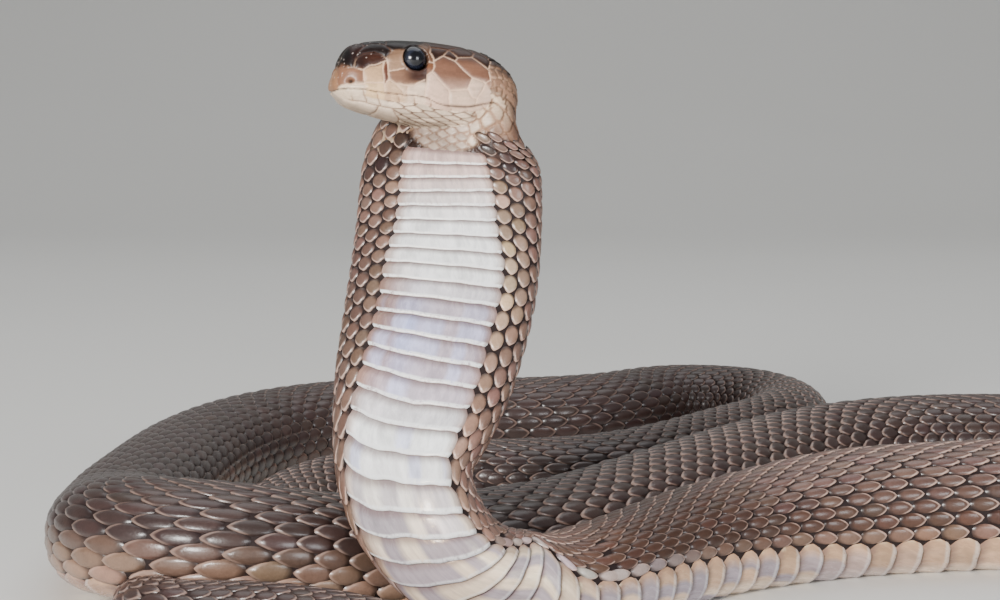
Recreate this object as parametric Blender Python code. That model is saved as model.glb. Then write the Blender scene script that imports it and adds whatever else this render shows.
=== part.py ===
"""Nubian spitting cobra: a still, life-size model that rears from its own coils.

The body is one smooth route from the back of the head to the tip of the tail. Cross-sections
carried along it make the neck, the coils and the tail, which lie on the floor on a flat belly.
The head is a loft of its own, parted along the line of the mouth, with the eyes in sockets.
Sizes are in millimetres until a mesh is made; X is right, Y away from the viewer, Z up.
"""
import math

import bmesh
import bpy
import numpy as np
from mathutils import Vector

MM = 0.001
GAP = 0.3

# Neck, from inside the back of the head down to the floor: x, y, z, and the direction in
# degrees that the belly side faces, turned to the snake's right from straight towards the viewer
NECK_ROUTE = [
    (-19.5, 15.2, 91.5, 48),
    (-22.0, 14.8, 86.5, 30),
    (-23.4, 14.0, 80.5, 15),
    (-23.8, 12.2, 72.5, 8),
    (-24.4, 9.0, 63.0, 8),
    (-25.8, 4.5, 53.5, 10),
    (-28.0, -1.0, 43.5, 13),
    (-30.0, -5.5, 34.5, 22),
    (-30.4, -9.6, 26.5, 31),
    (-26.4, -12.3, 18.4, 36),
    (-20.0, -11.6, 12.3, 40),
    (-12.4, -8.6, 9.2, 44),
]
# Coils on the floor, from the foot of the neck to the tip of the tail: x, y
COIL_ROUTE = [
    (0.0, 0.0), (11.0, 11.5), (23.0, 23.0), (37.0, 32.0), (53.0, 39.0),
    (69.0, 43.0), (87.0, 46.0), (107.0, 53.0), (120.5, 66.0), (124.0, 84.0), (115.0, 100.5),
    (99.0, 110.5), (80.0, 112.5), (61.0, 104.5), (43.0, 88.0), (27.0, 68.0), (12.0, 49.0),
    (-3.0, 31.5), (-18.0, 19.5), (-32.0, 12.0), (-47.0, 5.0), (-64.0, 1.0), (-78.0, 7.0),
    (-85.0, 22.0), (-87.0, 41.0), (-86.0, 63.0), (-84.0, 87.0), (-79.0, 111.0), (-69.0, 132.5),
    (-54.0, 147.0), (-36.0, 153.5), (-19.0, 155.0), (-2.0, 159.0), (14.0, 169.0), (31.0, 184.0),
    (47.0, 183.0), (57.0, 167.0), (53.0, 145.0), (41.5, 130.0), (28.5, 114.5), (14.5, 101.0),
    (-1.5, 94.0), (-19.0, 94.0), (-37.0, 92.5), (-51.5, 82.0), (-59.5, 65.0), (-62.0, 47.0),
    (-63.5, 29.0), (-68.0, 11.0), (-73.0, -5.0), (-70.0, -16.5), (-58.0, -20.5), (-44.0, -24.5),
    (-27.0, -34.0), (-7.0, -41.5), (13.0, -43.5), (31.0, -34.0), (47.0, -24.0), (63.0, -16.0),
    (79.0, -11.0), (91.0, -9.0),
]
# Along the body, in millimetres from the top of the neck: full width and full height
GIRTH = [
    (0, 21.0, 12.0), (7, 29.0, 13.0), (16, 33.0, 13.5), (34, 33.6, 13.5), (50, 32.0, 13.5),
    (66, 27.5, 14.5), (80, 22.5, 16.5), (95, 19.5, 17.0), (118, 20.0, 18.2), (150, 22.5, 21.0),
    (185, 25.5, 24.5), (260, 27.5, 25.5), (330, 27.0, 23.0), (400, 27.0, 21.5),
    (455, 26.5, 20.0), (520, 27.0, 21.0),
    (640, 26.5, 21.5), (740, 25.0, 20.5), (850, 21.5, 18.5), (960, 18.5, 15.0), (1045, 16.0, 10.5),
    (1090, 15.0, 13.2), (1130, 12.8, 11.6), (1180, 8.5, 7.5), (1225, 5.0, 4.4), (1260, 2.0, 1.9),
]
# Where the body lies over its own tail it is lifted: place along it, lift, half length
LIFT_AT, LIFT, LIFT_REACH = 526.0, 4.5, 44.0
# Tail whose shape is hollowed out of that belly, with room round it for its scutes and a gap
TAIL_UNDER, SPACE_CORNERS, TAIL_SPACE = (1004, 1092), (5, 4), 0.6
SINK = 0.93          # centre height of a resting length over its half height
BACK_ROUND = 2.15    # superellipse power of the back
BELLY_ROUND = 2.5    # and of the belly

# Lengths that the body is divided into, from the head to the tail: node, millimetres
LENGTHS = [
    ("neck_hood", 46), ("neck_middle", 34), ("neck_base", 26), ("body_front_left", 60),
    ("body_front_right", 50), ("right_bend_near", 38), ("right_bend_middle", 34),
    ("right_bend_far", 38), ("body_middle_right", 60), ("body_middle_left", 60),
    ("body_left", 52), ("left_bend_near", 29), ("left_bend_far", 29), ("back_left", 66),
    ("back_corner", 56), ("back_middle", 64), ("back_bend_far", 40), ("back_bend_near", 42),
    ("inner_right", 54), ("inner_middle", 46), ("inner_left", 44), ("tail_root", 62),
    ("tail_under", 36), ("tail_bend", 34), ("tail_front", 70), ("tail_tip", 200),
]
# Start of a node's name, and the corners of half a cross-section over the back and the belly
CORNERS = [("neck", 7, 5), ("body_front", 7, 4), ("tail_tip", 3, 2), ("tail_front", 3, 2),
           ("tail", 4, 2), ("", 4, 3)]

# Belly scutes, as many as the real ones: broad plates that lie one after another, each raised
# from the body towards its free rear edge. Along the body go the length of a plate and half the
# angle that it reaches round the belly
SCUTE_FROM = 7.0
SCUTE_RAISE = 0.55   # height of the free edge
SCUTE_STEP = 0.3     # length of the drop behind it
SCUTE_END = 5.0      # degrees over which a plate ends towards the flank
SCUTE_LENGTH = [
    (0, 2.3), (16, 2.6), (36, 3.9), (60, 4.4), (90, 4.2), (150, 4.9), (210, 5.5), (620, 5.6),
    (900, 4.8), (1050, 4.0), (1180, 3.2), (1260, 2.4),
]
SCUTE_REACH = [(0, 30), (20, 44), (50, 48), (75, 58), (110, 66), (1260, 62)]
SLIM = 5.0           # half height of body below which plates are lower in proportion

# Head, in its own frame: t back from the tip of the snout, y to the snake's left, z up
SNOUT_TIP = (-44.2, 5.3, 91.6)
HEAD_TURN, HEAD_PITCH, HEAD_ROLL = 22.0, 3.8, 5.0
HEAD_TOP = [
    (0, 1.8), (0.6, 3.2), (1.3, 5.0), (2.25, 7.2), (3.6, 8.5), (7, 9.3), (12, 9.8), (16, 9.9),
    (21, 9.6), (26, 8.8), (29.5, 7.5), (32.2, 5.4), (34, 2.2),
]
HEAD_BOTTOM = [
    (0, -0.4), (1.1, -1.4), (3.6, -2.4), (7, -3.3), (12, -4.2), (18, -4.9), (24, -5.2),
    (29, -4.6), (32.2, -2.8), (34, -0.6),
]
HEAD_HALF_WIDTH = [
    (0, 1.8), (0.6, 2.7), (1.3, 3.4), (2.25, 4.1), (3.6, 4.8), (7, 5.7), (12, 6.7), (16, 7.6),
    (20, 8.6), (24, 9.3), (27.5, 9.3), (30.3, 8.5), (32.6, 6.4), (34, 3.0),
]
MOUTH_LINE = [
    (0, 0.3), (0.8, 0.8), (2.7, 1.1), (6.7, 0.65), (12, 0.5), (14.5, 0.2), (16.7, -0.9),
    (21.7, -1.3), (24, -0.9), (27.5, -0.3), (34, 0.1),
]
HEAD_STATIONS = [0, 0.5, 1.1, 1.8, 2.6, 3.6, 5, 6.6, 8.3, 10, 11.6, 13.2, 14.8, 16.6, 18.6,
                 20.8, 23, 25.2, 27.2, 29, 30.6, 32, 33.2, 34]
UPPER_SIDES, LOWER_SIDES = 20, 14
UPPER_ROUND, LOWER_ROUND = 2.7, 2.2
LIP_SWELL, LIP_HEIGHT = 0.22, 0.9
BROW_SWELL, BROW_AT, BROW_REACH = 0.55, (12.5, 8.4), (4.5, 1.1)
CHEEK_DENT, CHEEK_AT, CHEEK_REACH = 0.45, (7.0, 5.2), (2.8, 1.8)
EYE_AT, EYE_RADIUS = (13.3, 4.6, 6.3), 2.3
NOSTRIL_AT, NOSTRIL_RADIUS = (2.2, 4.1, 1.9), 0.55

COLOURS = {
    "head": ((0.165, 0.095, 0.070), 0.38),
    "lower_jaw": ((0.55, 0.47, 0.40), 0.42),
    "eye": ((0.010, 0.012, 0.018), 0.08),
    "neck": ((0.42, 0.36, 0.35), 0.36),
    "body": ((0.105, 0.065, 0.048), 0.40),
}


def spline(knots, values, at):
    """Natural cubic spline through values at the knots, read at other places."""
    knots, values, at = np.asarray(knots, float), np.asarray(values, float), np.asarray(at, float)
    flat = values.reshape(len(knots), -1)
    step = np.diff(knots)
    slope = np.diff(flat, axis=0) / step[:, None]
    rows = np.eye(len(knots))
    right = np.zeros_like(flat)
    for i in range(1, len(knots) - 1):
        rows[i, i - 1:i + 2] = step[i - 1], 2 * (step[i - 1] + step[i]), step[i]
        right[i] = 6 * (slope[i] - slope[i - 1])
    bend = np.linalg.solve(rows, right)
    i = np.clip(np.searchsorted(knots, at, side="right") - 1, 0, len(step) - 1)
    h, a, b = step[i][:, None], (at - knots[i])[:, None], (knots[i + 1] - at)[:, None]
    out = (bend[i] * b ** 3 + bend[i + 1] * a ** 3) / (6 * h)
    out += (flat[i] / h - bend[i] * h / 6) * b + (flat[i + 1] / h - bend[i + 1] * h / 6) * a
    return out.reshape((len(at),) + values.shape[1:])


def profile(stations, at):
    """A size given at a few stations, carried smoothly between them without overshoot."""
    x, y = np.asarray(stations, float).T
    slope = np.diff(y) / np.diff(x)
    tangent = np.zeros(len(x))
    same = slope[1:] * slope[:-1] > 0
    tangent[1:-1][same] = 2 * slope[1:][same] * slope[:-1][same] / (slope[1:] + slope[:-1])[same]
    tangent[0], tangent[-1] = slope[0], slope[-1]
    at = np.clip(at, x[0], x[-1])
    i = np.clip(np.searchsorted(x, at, side="right") - 1, 0, len(x) - 2)
    h = x[i + 1] - x[i]
    u = (at - x[i]) / h
    return ((1 + 2 * u) * (1 - u) ** 2 * y[i] + u * (1 - u) ** 2 * h * tangent[i]
            + u ** 2 * (3 - 2 * u) * y[i + 1] + u ** 2 * (u - 1) * h * tangent[i + 1])


def unit(vectors):
    return vectors / np.linalg.norm(vectors, axis=-1, keepdims=True)


def girth(s):
    table = np.array(GIRTH)
    return profile(table[:, :2], s) / 2, profile(table[:, [0, 2]], s) / 2


def lift(s):
    """Raised-cosine lift of the length that lies over the tail."""
    u = np.clip((s - LIFT_AT) / LIFT_REACH, -1, 1)
    return LIFT * (0.5 + 0.5 * np.cos(math.pi * u))


def body_route():
    """Points every half millimetre along the centre line, with arc length and back direction."""
    neck = np.array(NECK_ROUTE)
    coil = np.array(COIL_ROUTE)
    points = np.vstack([neck[:, :3], np.column_stack([coil, np.zeros(len(coil))])])
    turn = np.radians(neck[:, 3])
    back = np.vstack([np.column_stack([np.sin(turn), np.cos(turn), 0 * turn]),
                      np.tile((0.0, 0.0, 1.0), (len(coil), 1))])
    reach = np.concatenate([[0], np.cumsum(np.linalg.norm(np.diff(points, axis=0), axis=1))])
    floor_from = len(neck)
    points[floor_from:, 2] = SINK * girth(reach[floor_from:])[1] + lift(reach[floor_from:])
    reach = np.concatenate([[0], np.cumsum(np.linalg.norm(np.diff(points, axis=0), axis=1))])
    at = np.arange(0, reach[-1], 0.5)
    path = spline(reach, points, at)
    s = np.concatenate([[0], np.cumsum(np.linalg.norm(np.diff(path, axis=0), axis=1))])
    tail = path[:, 2] * 0 + s
    resting = at > reach[floor_from]
    path[resting, 2] = (SINK * girth(tail)[1] + lift(tail))[resting]
    back = unit(np.column_stack([np.interp(at, reach, back[:, k]) for k in range(3)]))
    return s, path, back


def frames(s):
    """Centre, snake's left and back directions of the cross-sections at arc lengths s."""
    along, path, back = ROUTE
    centre = np.column_stack([np.interp(s, along, path[:, k]) for k in range(3)])
    ahead = np.column_stack([np.interp(s - 1.5, along, path[:, k]) for k in range(3)])
    behind = np.column_stack([np.interp(s + 1.5, along, path[:, k]) for k in range(3)])
    to_head = unit(ahead - behind)
    up = np.column_stack([np.interp(s, along, back[:, k]) for k in range(3)])
    up = unit(up - (up * to_head).sum(1, keepdims=True) * to_head)
    return centre, np.cross(up, to_head), up


def scute_edges():
    """Arc lengths of the belly scutes' rear edges, from the throat to the tail tip."""
    edges, at, end = [], SCUTE_FROM, ROUTE[0][-1]
    while at < end:
        edges.append(at)
        at += float(profile(SCUTE_LENGTH, at))
    return np.array(edges)


def scute_height(s):
    """How far a plate stands out at arc length s: nothing at its front, most at its rear edge."""
    i = np.clip(np.searchsorted(EDGES, s, side="right") - 1, 0, len(EDGES) - 2)
    along = np.clip((s - EDGES[i]) / (EDGES[i + 1] - EDGES[i] - SCUTE_STEP), 0, 1)
    return SCUTE_RAISE * along * np.minimum(1, girth(s)[1] / SLIM)


def body_rings(s, over_back, over_belly, grow=0.0):
    """Superellipse cross-sections, clipped level with the floor where the body rests on it.

    Corners stand at the two ends of the belly plates, and evenly over the back and the belly.
    """
    half_width, half_height = girth(s)
    centre, left, up = frames(s)
    plate_end = 180 - profile(SCUTE_REACH, s)[:, None]
    back = (plate_end - SCUTE_END) * np.linspace(0, 1, over_back)
    belly = plate_end + (180 - plate_end) * np.linspace(0, 1, over_belly)
    half_turn = np.hstack([back, belly])
    angle = np.radians(np.hstack([half_turn, 360 - half_turn[:, -2:0:-1]]))
    cosine, sine = np.cos(angle), np.sin(angle)
    power = 2 / np.where(cosine >= 0, BACK_ROUND, BELLY_ROUND)
    on_plate = np.abs(np.degrees(angle) - 180) < 180 - plate_end + 0.5 * SCUTE_END
    raised = scute_height(s)[:, None] * on_plate + grow
    y = np.sign(sine) * np.abs(sine) ** power * (half_width[:, None] + raised)
    z = np.sign(cosine) * np.abs(cosine) ** power * (half_height[:, None] + raised)
    rings = centre[:, None] + y[..., None] * left[:, None] + z[..., None] * up[:, None]
    rings[..., 2] = np.maximum(rings[..., 2], -grow)
    return rings


def loft(rings):
    """Vertices and faces of a closed body through rings that all have as many points."""
    count, sides = rings.shape[:2]
    faces = [tuple(range(sides)), tuple(reversed(range((count - 1) * sides, count * sides)))]
    for i in range(count - 1):
        for j in range(sides):
            k = (j + 1) % sides
            faces.append((i * sides + j, (i + 1) * sides + j, (i + 1) * sides + k, i * sides + k))
    return rings.reshape(-1, 3), faces


def finish_mesh(obj):
    """Faces outward, round surfaces smooth and true edges sharp."""
    bm = bmesh.new()
    bm.from_mesh(obj.data)
    bmesh.ops.recalc_face_normals(bm, faces=bm.faces)
    if bm.calc_volume(signed=True) < 0:
        bmesh.ops.reverse_faces(bm, faces=bm.faces)
    bm.to_mesh(obj.data)
    bm.free()
    obj.data.shade_smooth()
    obj.data.set_sharp_from_angle(angle=math.radians(40))
    return obj


def solid(name, vertices, faces):
    """A mesh object in metres from vertices in millimetres."""
    mesh = bpy.data.meshes.new(name)
    mesh.from_pydata((np.asarray(vertices) * MM).tolist(), [], faces)
    obj = bpy.data.objects.new(name, mesh)
    bpy.context.scene.collection.objects.link(obj)
    return finish_mesh(obj)


def paint(obj, finish):
    colour, roughness = COLOURS[finish]
    material = bpy.data.materials.new(obj.name)
    material.use_nodes = True
    shader = material.node_tree.nodes["Principled BSDF"]
    shader.inputs["Base Color"].default_value = (*colour, 1.0)
    shader.inputs["Roughness"].default_value = roughness
    shader.inputs["Metallic"].default_value = 0.0
    obj.data.materials.clear()
    obj.data.materials.append(material)


def keep_largest(obj):
    """Drop every closed surface of a mesh but the one that reaches furthest."""
    bm = bmesh.new()
    bm.from_mesh(obj.data)
    groups, seen = [], set()
    for start in bm.verts:
        if start in seen:
            continue
        group, queue = [], [start]
        seen.add(start)
        while queue:
            vertex = queue.pop()
            group.append(vertex)
            for edge in vertex.link_edges:
                other = edge.other_vert(vertex)
                if other not in seen:
                    seen.add(other)
                    queue.append(other)
        groups.append(group)
    groups.sort(key=lambda group: -len(group))
    scraps = [vertex for group in groups[1:] for vertex in group]
    bmesh.ops.delete(bm, geom=scraps, context="VERTS")
    bm.to_mesh(obj.data)
    bm.free()


def cut(obj, cutter, solver="EXACT"):
    """Take the cutter's shape out of a node, and the cutter out of the scene."""
    modifier = obj.modifiers.new("cut", "BOOLEAN")
    modifier.operation = "DIFFERENCE"
    modifier.solver = solver
    modifier.object = cutter
    shaped = bpy.data.meshes.new_from_object(obj.evaluated_get(bpy.context.evaluated_depsgraph_get()))
    obj.modifiers.clear()
    obj.data = shaped
    bpy.data.objects.remove(cutter)
    keep_largest(obj)
    finish_mesh(obj)


def make_body():
    """Every length of neck, body and tail, face to face with a thin gap between."""
    start, total = 0.0, ROUTE[0][-1]
    for name, length in LENGTHS:
        end = min(start + length, total)
        corners = [row[1:] for row in CORNERS if name.startswith(row[0])][0]
        edges = EDGES[(EDGES > start + 1) & (EDGES < end - 1)]
        stops = np.concatenate([[start + GAP / 2], edges - SCUTE_STEP, edges, [end - GAP / 2]])
        obj = solid(name, *loft(body_rings(np.sort(stops), *corners)))
        paint(obj, "neck" if name.startswith("neck") else "body")
        start = end


def head_point(t, y, z):
    """From the head's own frame to the model's."""
    turn, pitch, roll = (math.radians(a) for a in (HEAD_TURN, HEAD_PITCH, HEAD_ROLL))
    ahead = Vector((-math.cos(turn) * math.cos(pitch), -math.sin(turn) * math.cos(pitch),
                    math.sin(pitch)))
    level_left = Vector((0, 0, 1)).cross(ahead).normalized()
    level_up = ahead.cross(level_left)
    left = level_left * math.cos(roll) + level_up * math.sin(roll)
    up = ahead.cross(left)
    t, y, z = (np.asarray(v, float)[..., None] for v in (t, y, z))
    return np.array(SNOUT_TIP) - t * np.array(ahead) + y * np.array(left) + z * np.array(up)


def bump(t, z, at, reach):
    return np.exp(-((t - at[0]) / reach[0]) ** 2 - ((z - at[1]) / reach[1]) ** 2)


def head_rings(part, gap=GAP / 2, grow=0.0):
    """Cross-sections of the upper head, the lower jaw or both as one, from snout to nape."""
    t = np.array(HEAD_STATIONS, float)
    top, bottom, width, mouth = (profile(p, t)[:, None] for p in
                                 (HEAD_TOP, HEAD_BOTTOM, HEAD_HALF_WIDTH, MOUTH_LINE))
    above = np.linspace(0, math.pi, UPPER_SIDES + 1)
    below = np.linspace(math.pi, 2 * math.pi, LOWER_SIDES + 1)
    angle = {"head": above, "lower_jaw": below, "both": np.append(above, below[1:-1])}[part]
    sine, cosine = np.sin(angle), np.cos(angle)
    power = 2 / np.where(sine >= 0, UPPER_ROUND, LOWER_ROUND)
    y = np.sign(cosine) * np.abs(cosine) ** power * (width + grow)
    reach = np.where(sine >= 0, top + grow - mouth, mouth - bottom + grow)
    z = mouth + np.sign(sine) * np.abs(sine) ** power * reach
    station = t[:, None] + 0 * z
    swell = LIP_SWELL * np.exp(-((z - mouth) / LIP_HEIGHT) ** 2) * (t[:, None] < 28)
    swell = swell + BROW_SWELL * bump(station, z, BROW_AT, BROW_REACH)
    swell = swell - CHEEK_DENT * bump(station, z, CHEEK_AT, CHEEK_REACH)
    y = y + np.sign(np.round(y, 6)) * swell
    shift = {"head": gap, "lower_jaw": -gap, "both": 0.0}[part]
    station = station + np.where(station < 1, -grow, 0) + np.where(station > 33.5, grow, 0)
    return head_point(station, y, z + shift)


def ball(name, centre, radius, rings=8, segments=12):
    """A closed sphere with its poles along the snake's left."""
    polar = np.linspace(0, math.pi, rings + 1)[1:-1]
    turn = np.arange(segments) * 2 * math.pi / segments
    t = centre[0] + radius * np.sin(polar)[:, None] * np.cos(turn)
    y = centre[1] + radius * np.cos(polar)[:, None] + 0 * turn
    z = centre[2] + radius * np.sin(polar)[:, None] * np.sin(turn)
    return solid(name, *loft(head_point(t, y, z)))


def make_head():
    """Upper head, lower jaw and eyes, with sockets and nostrils cut in."""
    head = solid("head", *loft(head_rings("head")))
    jaw = solid("lower_jaw", *loft(head_rings("lower_jaw")))
    for side, sign in (("left", 1), ("right", -1)):
        eye_at = (EYE_AT[0], sign * EYE_AT[1], EYE_AT[2])
        cut(head, ball("socket", eye_at, EYE_RADIUS + GAP))
        nostril_at = (NOSTRIL_AT[0], sign * NOSTRIL_AT[1], NOSTRIL_AT[2])
        cut(head, ball("nostril", nostril_at, NOSTRIL_RADIUS, 5, 8))
        paint(ball("eye_" + side, eye_at, EYE_RADIUS), "eye")
    paint(head, "head")
    paint(jaw, "lower_jaw")


def part_neck_from_head():
    """The neck runs up into the back of the head, and is cut away there."""
    cutter = solid("head_space", *loft(head_rings("both", grow=GAP)))
    cut(bpy.data.objects["neck_hood"], cutter)


def bed_over_tail():
    """The belly that lies over the tail is hollowed by the tail's own shape."""
    stops = np.arange(*TAIL_UNDER, 4.0)
    for name in ("left_bend_near", "left_bend_far"):
        cutter = solid("tail_space", *loft(body_rings(stops, *SPACE_CORNERS, TAIL_SPACE)))
        cut(bpy.data.objects[name], cutter, "MANIFOLD")


for old in list(bpy.data.objects):
    bpy.data.objects.remove(old)
ROUTE = body_route()
EDGES = scute_edges()
make_body()
make_head()
part_neck_from_head()
bed_over_tail()
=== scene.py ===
"""Looks of the nubian spitting cobra: one skin, belly plates, back scales, head and eyes.

The body follows one route from the back of the head to the tip of the tail, with the same named
sizes as the part's source. A point of it is given by the arc length s along that route, an angle
round the cross-section from the middle of the back, and a height above the solid's surface.
Sizes are in millimetres until a mesh is made. X is right, Y away from the viewer, Z up.
"""
import math

import bpy
import mathutils
import numpy as np
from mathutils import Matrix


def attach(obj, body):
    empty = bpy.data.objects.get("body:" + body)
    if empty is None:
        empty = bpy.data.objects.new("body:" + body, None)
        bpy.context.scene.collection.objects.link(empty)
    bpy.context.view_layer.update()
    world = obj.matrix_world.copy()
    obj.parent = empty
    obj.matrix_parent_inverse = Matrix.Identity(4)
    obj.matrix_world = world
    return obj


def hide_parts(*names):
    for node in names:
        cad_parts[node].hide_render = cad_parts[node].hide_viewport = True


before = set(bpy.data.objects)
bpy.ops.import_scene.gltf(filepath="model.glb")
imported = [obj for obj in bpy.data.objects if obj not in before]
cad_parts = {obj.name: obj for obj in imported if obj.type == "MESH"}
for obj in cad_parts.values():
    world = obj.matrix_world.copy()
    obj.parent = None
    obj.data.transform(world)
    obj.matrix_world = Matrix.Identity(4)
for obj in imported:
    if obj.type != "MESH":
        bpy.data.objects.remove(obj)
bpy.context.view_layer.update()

MM = 0.001

# Route and girth of the body, as in the part's source
NECK_ROUTE = [
    (-19.5, 15.2, 91.5, 48), (-22.0, 14.8, 86.5, 30), (-23.4, 14.0, 80.5, 15),
    (-23.8, 12.2, 72.5, 8), (-24.4, 9.0, 63.0, 8), (-25.8, 4.5, 53.5, 10), (-28.0, -1.0, 43.5, 13),
    (-30.0, -5.5, 34.5, 22), (-30.4, -9.6, 26.5, 31), (-26.4, -12.3, 18.4, 36),
    (-20.0, -11.6, 12.3, 40), (-12.4, -8.6, 9.2, 44),
]
COIL_ROUTE = [
    (0.0, 0.0), (11.0, 11.5), (23.0, 23.0), (37.0, 32.0), (53.0, 39.0),
    (69.0, 43.0), (87.0, 46.0), (107.0, 53.0), (120.5, 66.0), (124.0, 84.0), (115.0, 100.5),
    (99.0, 110.5), (80.0, 112.5), (61.0, 104.5), (43.0, 88.0), (27.0, 68.0), (12.0, 49.0),
    (-3.0, 31.5), (-18.0, 19.5), (-32.0, 12.0), (-47.0, 5.0), (-64.0, 1.0), (-78.0, 7.0),
    (-85.0, 22.0), (-87.0, 41.0), (-86.0, 63.0), (-84.0, 87.0), (-79.0, 111.0), (-69.0, 132.5),
    (-54.0, 147.0), (-36.0, 153.5), (-19.0, 155.0), (-2.0, 159.0), (14.0, 169.0), (31.0, 184.0),
    (47.0, 183.0), (57.0, 167.0), (53.0, 145.0), (41.5, 130.0), (28.5, 114.5), (14.5, 101.0),
    (-1.5, 94.0), (-19.0, 94.0), (-37.0, 92.5), (-51.5, 82.0), (-59.5, 65.0), (-62.0, 47.0),
    (-63.5, 29.0), (-68.0, 11.0), (-73.0, -5.0), (-70.0, -16.5), (-58.0, -20.5), (-44.0, -24.5),
    (-27.0, -34.0), (-7.0, -41.5), (13.0, -43.5), (31.0, -34.0), (47.0, -24.0), (63.0, -16.0),
    (79.0, -11.0), (91.0, -9.0),
]
GIRTH = [
    (0, 21.0, 12.0), (7, 29.0, 13.0), (16, 33.0, 13.5), (34, 33.6, 13.5), (50, 32.0, 13.5),
    (66, 27.5, 14.5), (80, 22.5, 16.5), (95, 19.5, 17.0), (118, 20.0, 18.2), (150, 22.5, 21.0),
    (185, 25.5, 24.5), (260, 27.5, 25.5), (330, 27.0, 23.0), (400, 27.0, 21.5),
    (455, 26.5, 20.0), (520, 27.0, 21.0),
    (640, 26.5, 21.5), (740, 25.0, 20.5), (850, 21.5, 18.5), (960, 18.5, 15.0), (1045, 16.0, 10.5),
    (1090, 15.0, 13.2), (1130, 12.8, 11.6), (1180, 8.5, 7.5), (1225, 5.0, 4.4), (1260, 2.0, 1.9),
]
LIFT_AT, LIFT, LIFT_REACH = 526.0, 4.5, 44.0
SINK, BACK_ROUND, BELLY_ROUND = 0.93, 2.15, 2.5
SCUTE_FROM = 7.0
SCUTE_LENGTH = [
    (0, 2.3), (16, 2.6), (30, 3.0), (40, 3.6), (52, 3.9), (64, 4.7), (70, 4.4), (78, 3.4),
    (90, 3.4), (112, 4.2), (150, 5.2), (185, 6.2), (215, 6.2), (260, 5.6), (620, 5.6),
    (900, 4.8), (1050, 4.0), (1180, 3.2), (1260, 2.4),
]
SCUTE_REACH = [
    (0, 20), (10, 22), (16, 25), (26, 29), (34, 36), (44, 36), (52, 38), (62, 45), (68, 50),
    (76, 58), (100, 65), (1260, 62),
]
SCUTE_SHIFT = [
    (0, 0), (26, 2), (36, 4), (50, 3), (62, 6), (68, 11), (74, 18), (84, 18), (96, 26),
    (110, 34), (118, 34), (140, 27), (162, 21), (178, 14), (205, 12), (250, 0), (1260, 0),
]
# How far the plates' left ends are drawn up and their right ends down where the neck bends over
SKEW_LEFT = [
    (0, 0), (40, 0), (50, 1.0), (60, 2.4), (66, 3.3), (73, 4.9), (80, 5.6), (87, 5.3), (97, 2.8),
    (110, 0), (1260, 0),
]
SKEW_RIGHT = [
    (0, 0), (50, 0), (60, -0.4), (65, 0.6), (73, 3.4), (80, 4.3), (87, 4.1), (96, 2.2), (107, 0),
    (1260, 0),
]
PLATES_FROM = 10.5       # before this the throat has small scales, which are part of the skin

# Head, as in the part's source
SNOUT_TIP = (-44.2, 5.3, 91.6)
HEAD_TURN, HEAD_PITCH, HEAD_ROLL = 22.0, 3.8, 5.0
HEAD_TOP = [
    (0, 1.8), (0.6, 3.2), (1.3, 5.0), (2.25, 7.2), (3.6, 8.5), (7, 9.3), (12, 9.8), (16, 9.9),
    (21, 9.6), (26, 8.8), (29.5, 7.5), (32.2, 5.4), (34, 2.2),
]
HEAD_BOTTOM = [
    (0, -0.4), (1.1, -1.4), (3.6, -2.4), (7, -3.3), (12, -4.2), (18, -4.9), (24, -5.2),
    (29, -4.6), (32.2, -2.8), (34, -0.6),
]
HEAD_HALF_WIDTH = [
    (0, 1.8), (0.6, 2.7), (1.3, 3.4), (2.25, 4.1), (3.6, 4.8), (7, 5.7), (12, 6.7), (16, 7.6),
    (20, 8.6), (24, 9.3), (27.5, 9.3), (30.3, 8.5), (32.6, 6.4), (34, 3.0),
]
MOUTH_LINE = [
    (0, 0.0), (0.8, 0.45), (2.7, 0.6), (4.5, 0.6), (6.4, 0.25), (8, 0.15), (10.6, -0.05),
    (12.6, -0.1), (14.8, -0.35), (16.7, -1.2), (18.7, -1.65), (21.6, -1.7), (24.1, -1.2),
    (27, -0.6), (34, -0.1),
]
UPPER_ROUND, LOWER_ROUND = 2.7, 2.2
LIP_SWELL, LIP_HEIGHT = 0.22, 0.9
BROW_SWELL, BROW_AT, BROW_REACH = 0.55, (12.5, 8.4), (4.5, 1.1)
CHEEK_DENT, CHEEK_AT, CHEEK_REACH = 0.45, (7.0, 5.2), (2.8, 1.8)
EYE_AT, EYE_RADIUS = (13.3, 4.6, 6.3), 2.3
NOSTRIL_AT = (2.3, 4.1, 1.9)

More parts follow.
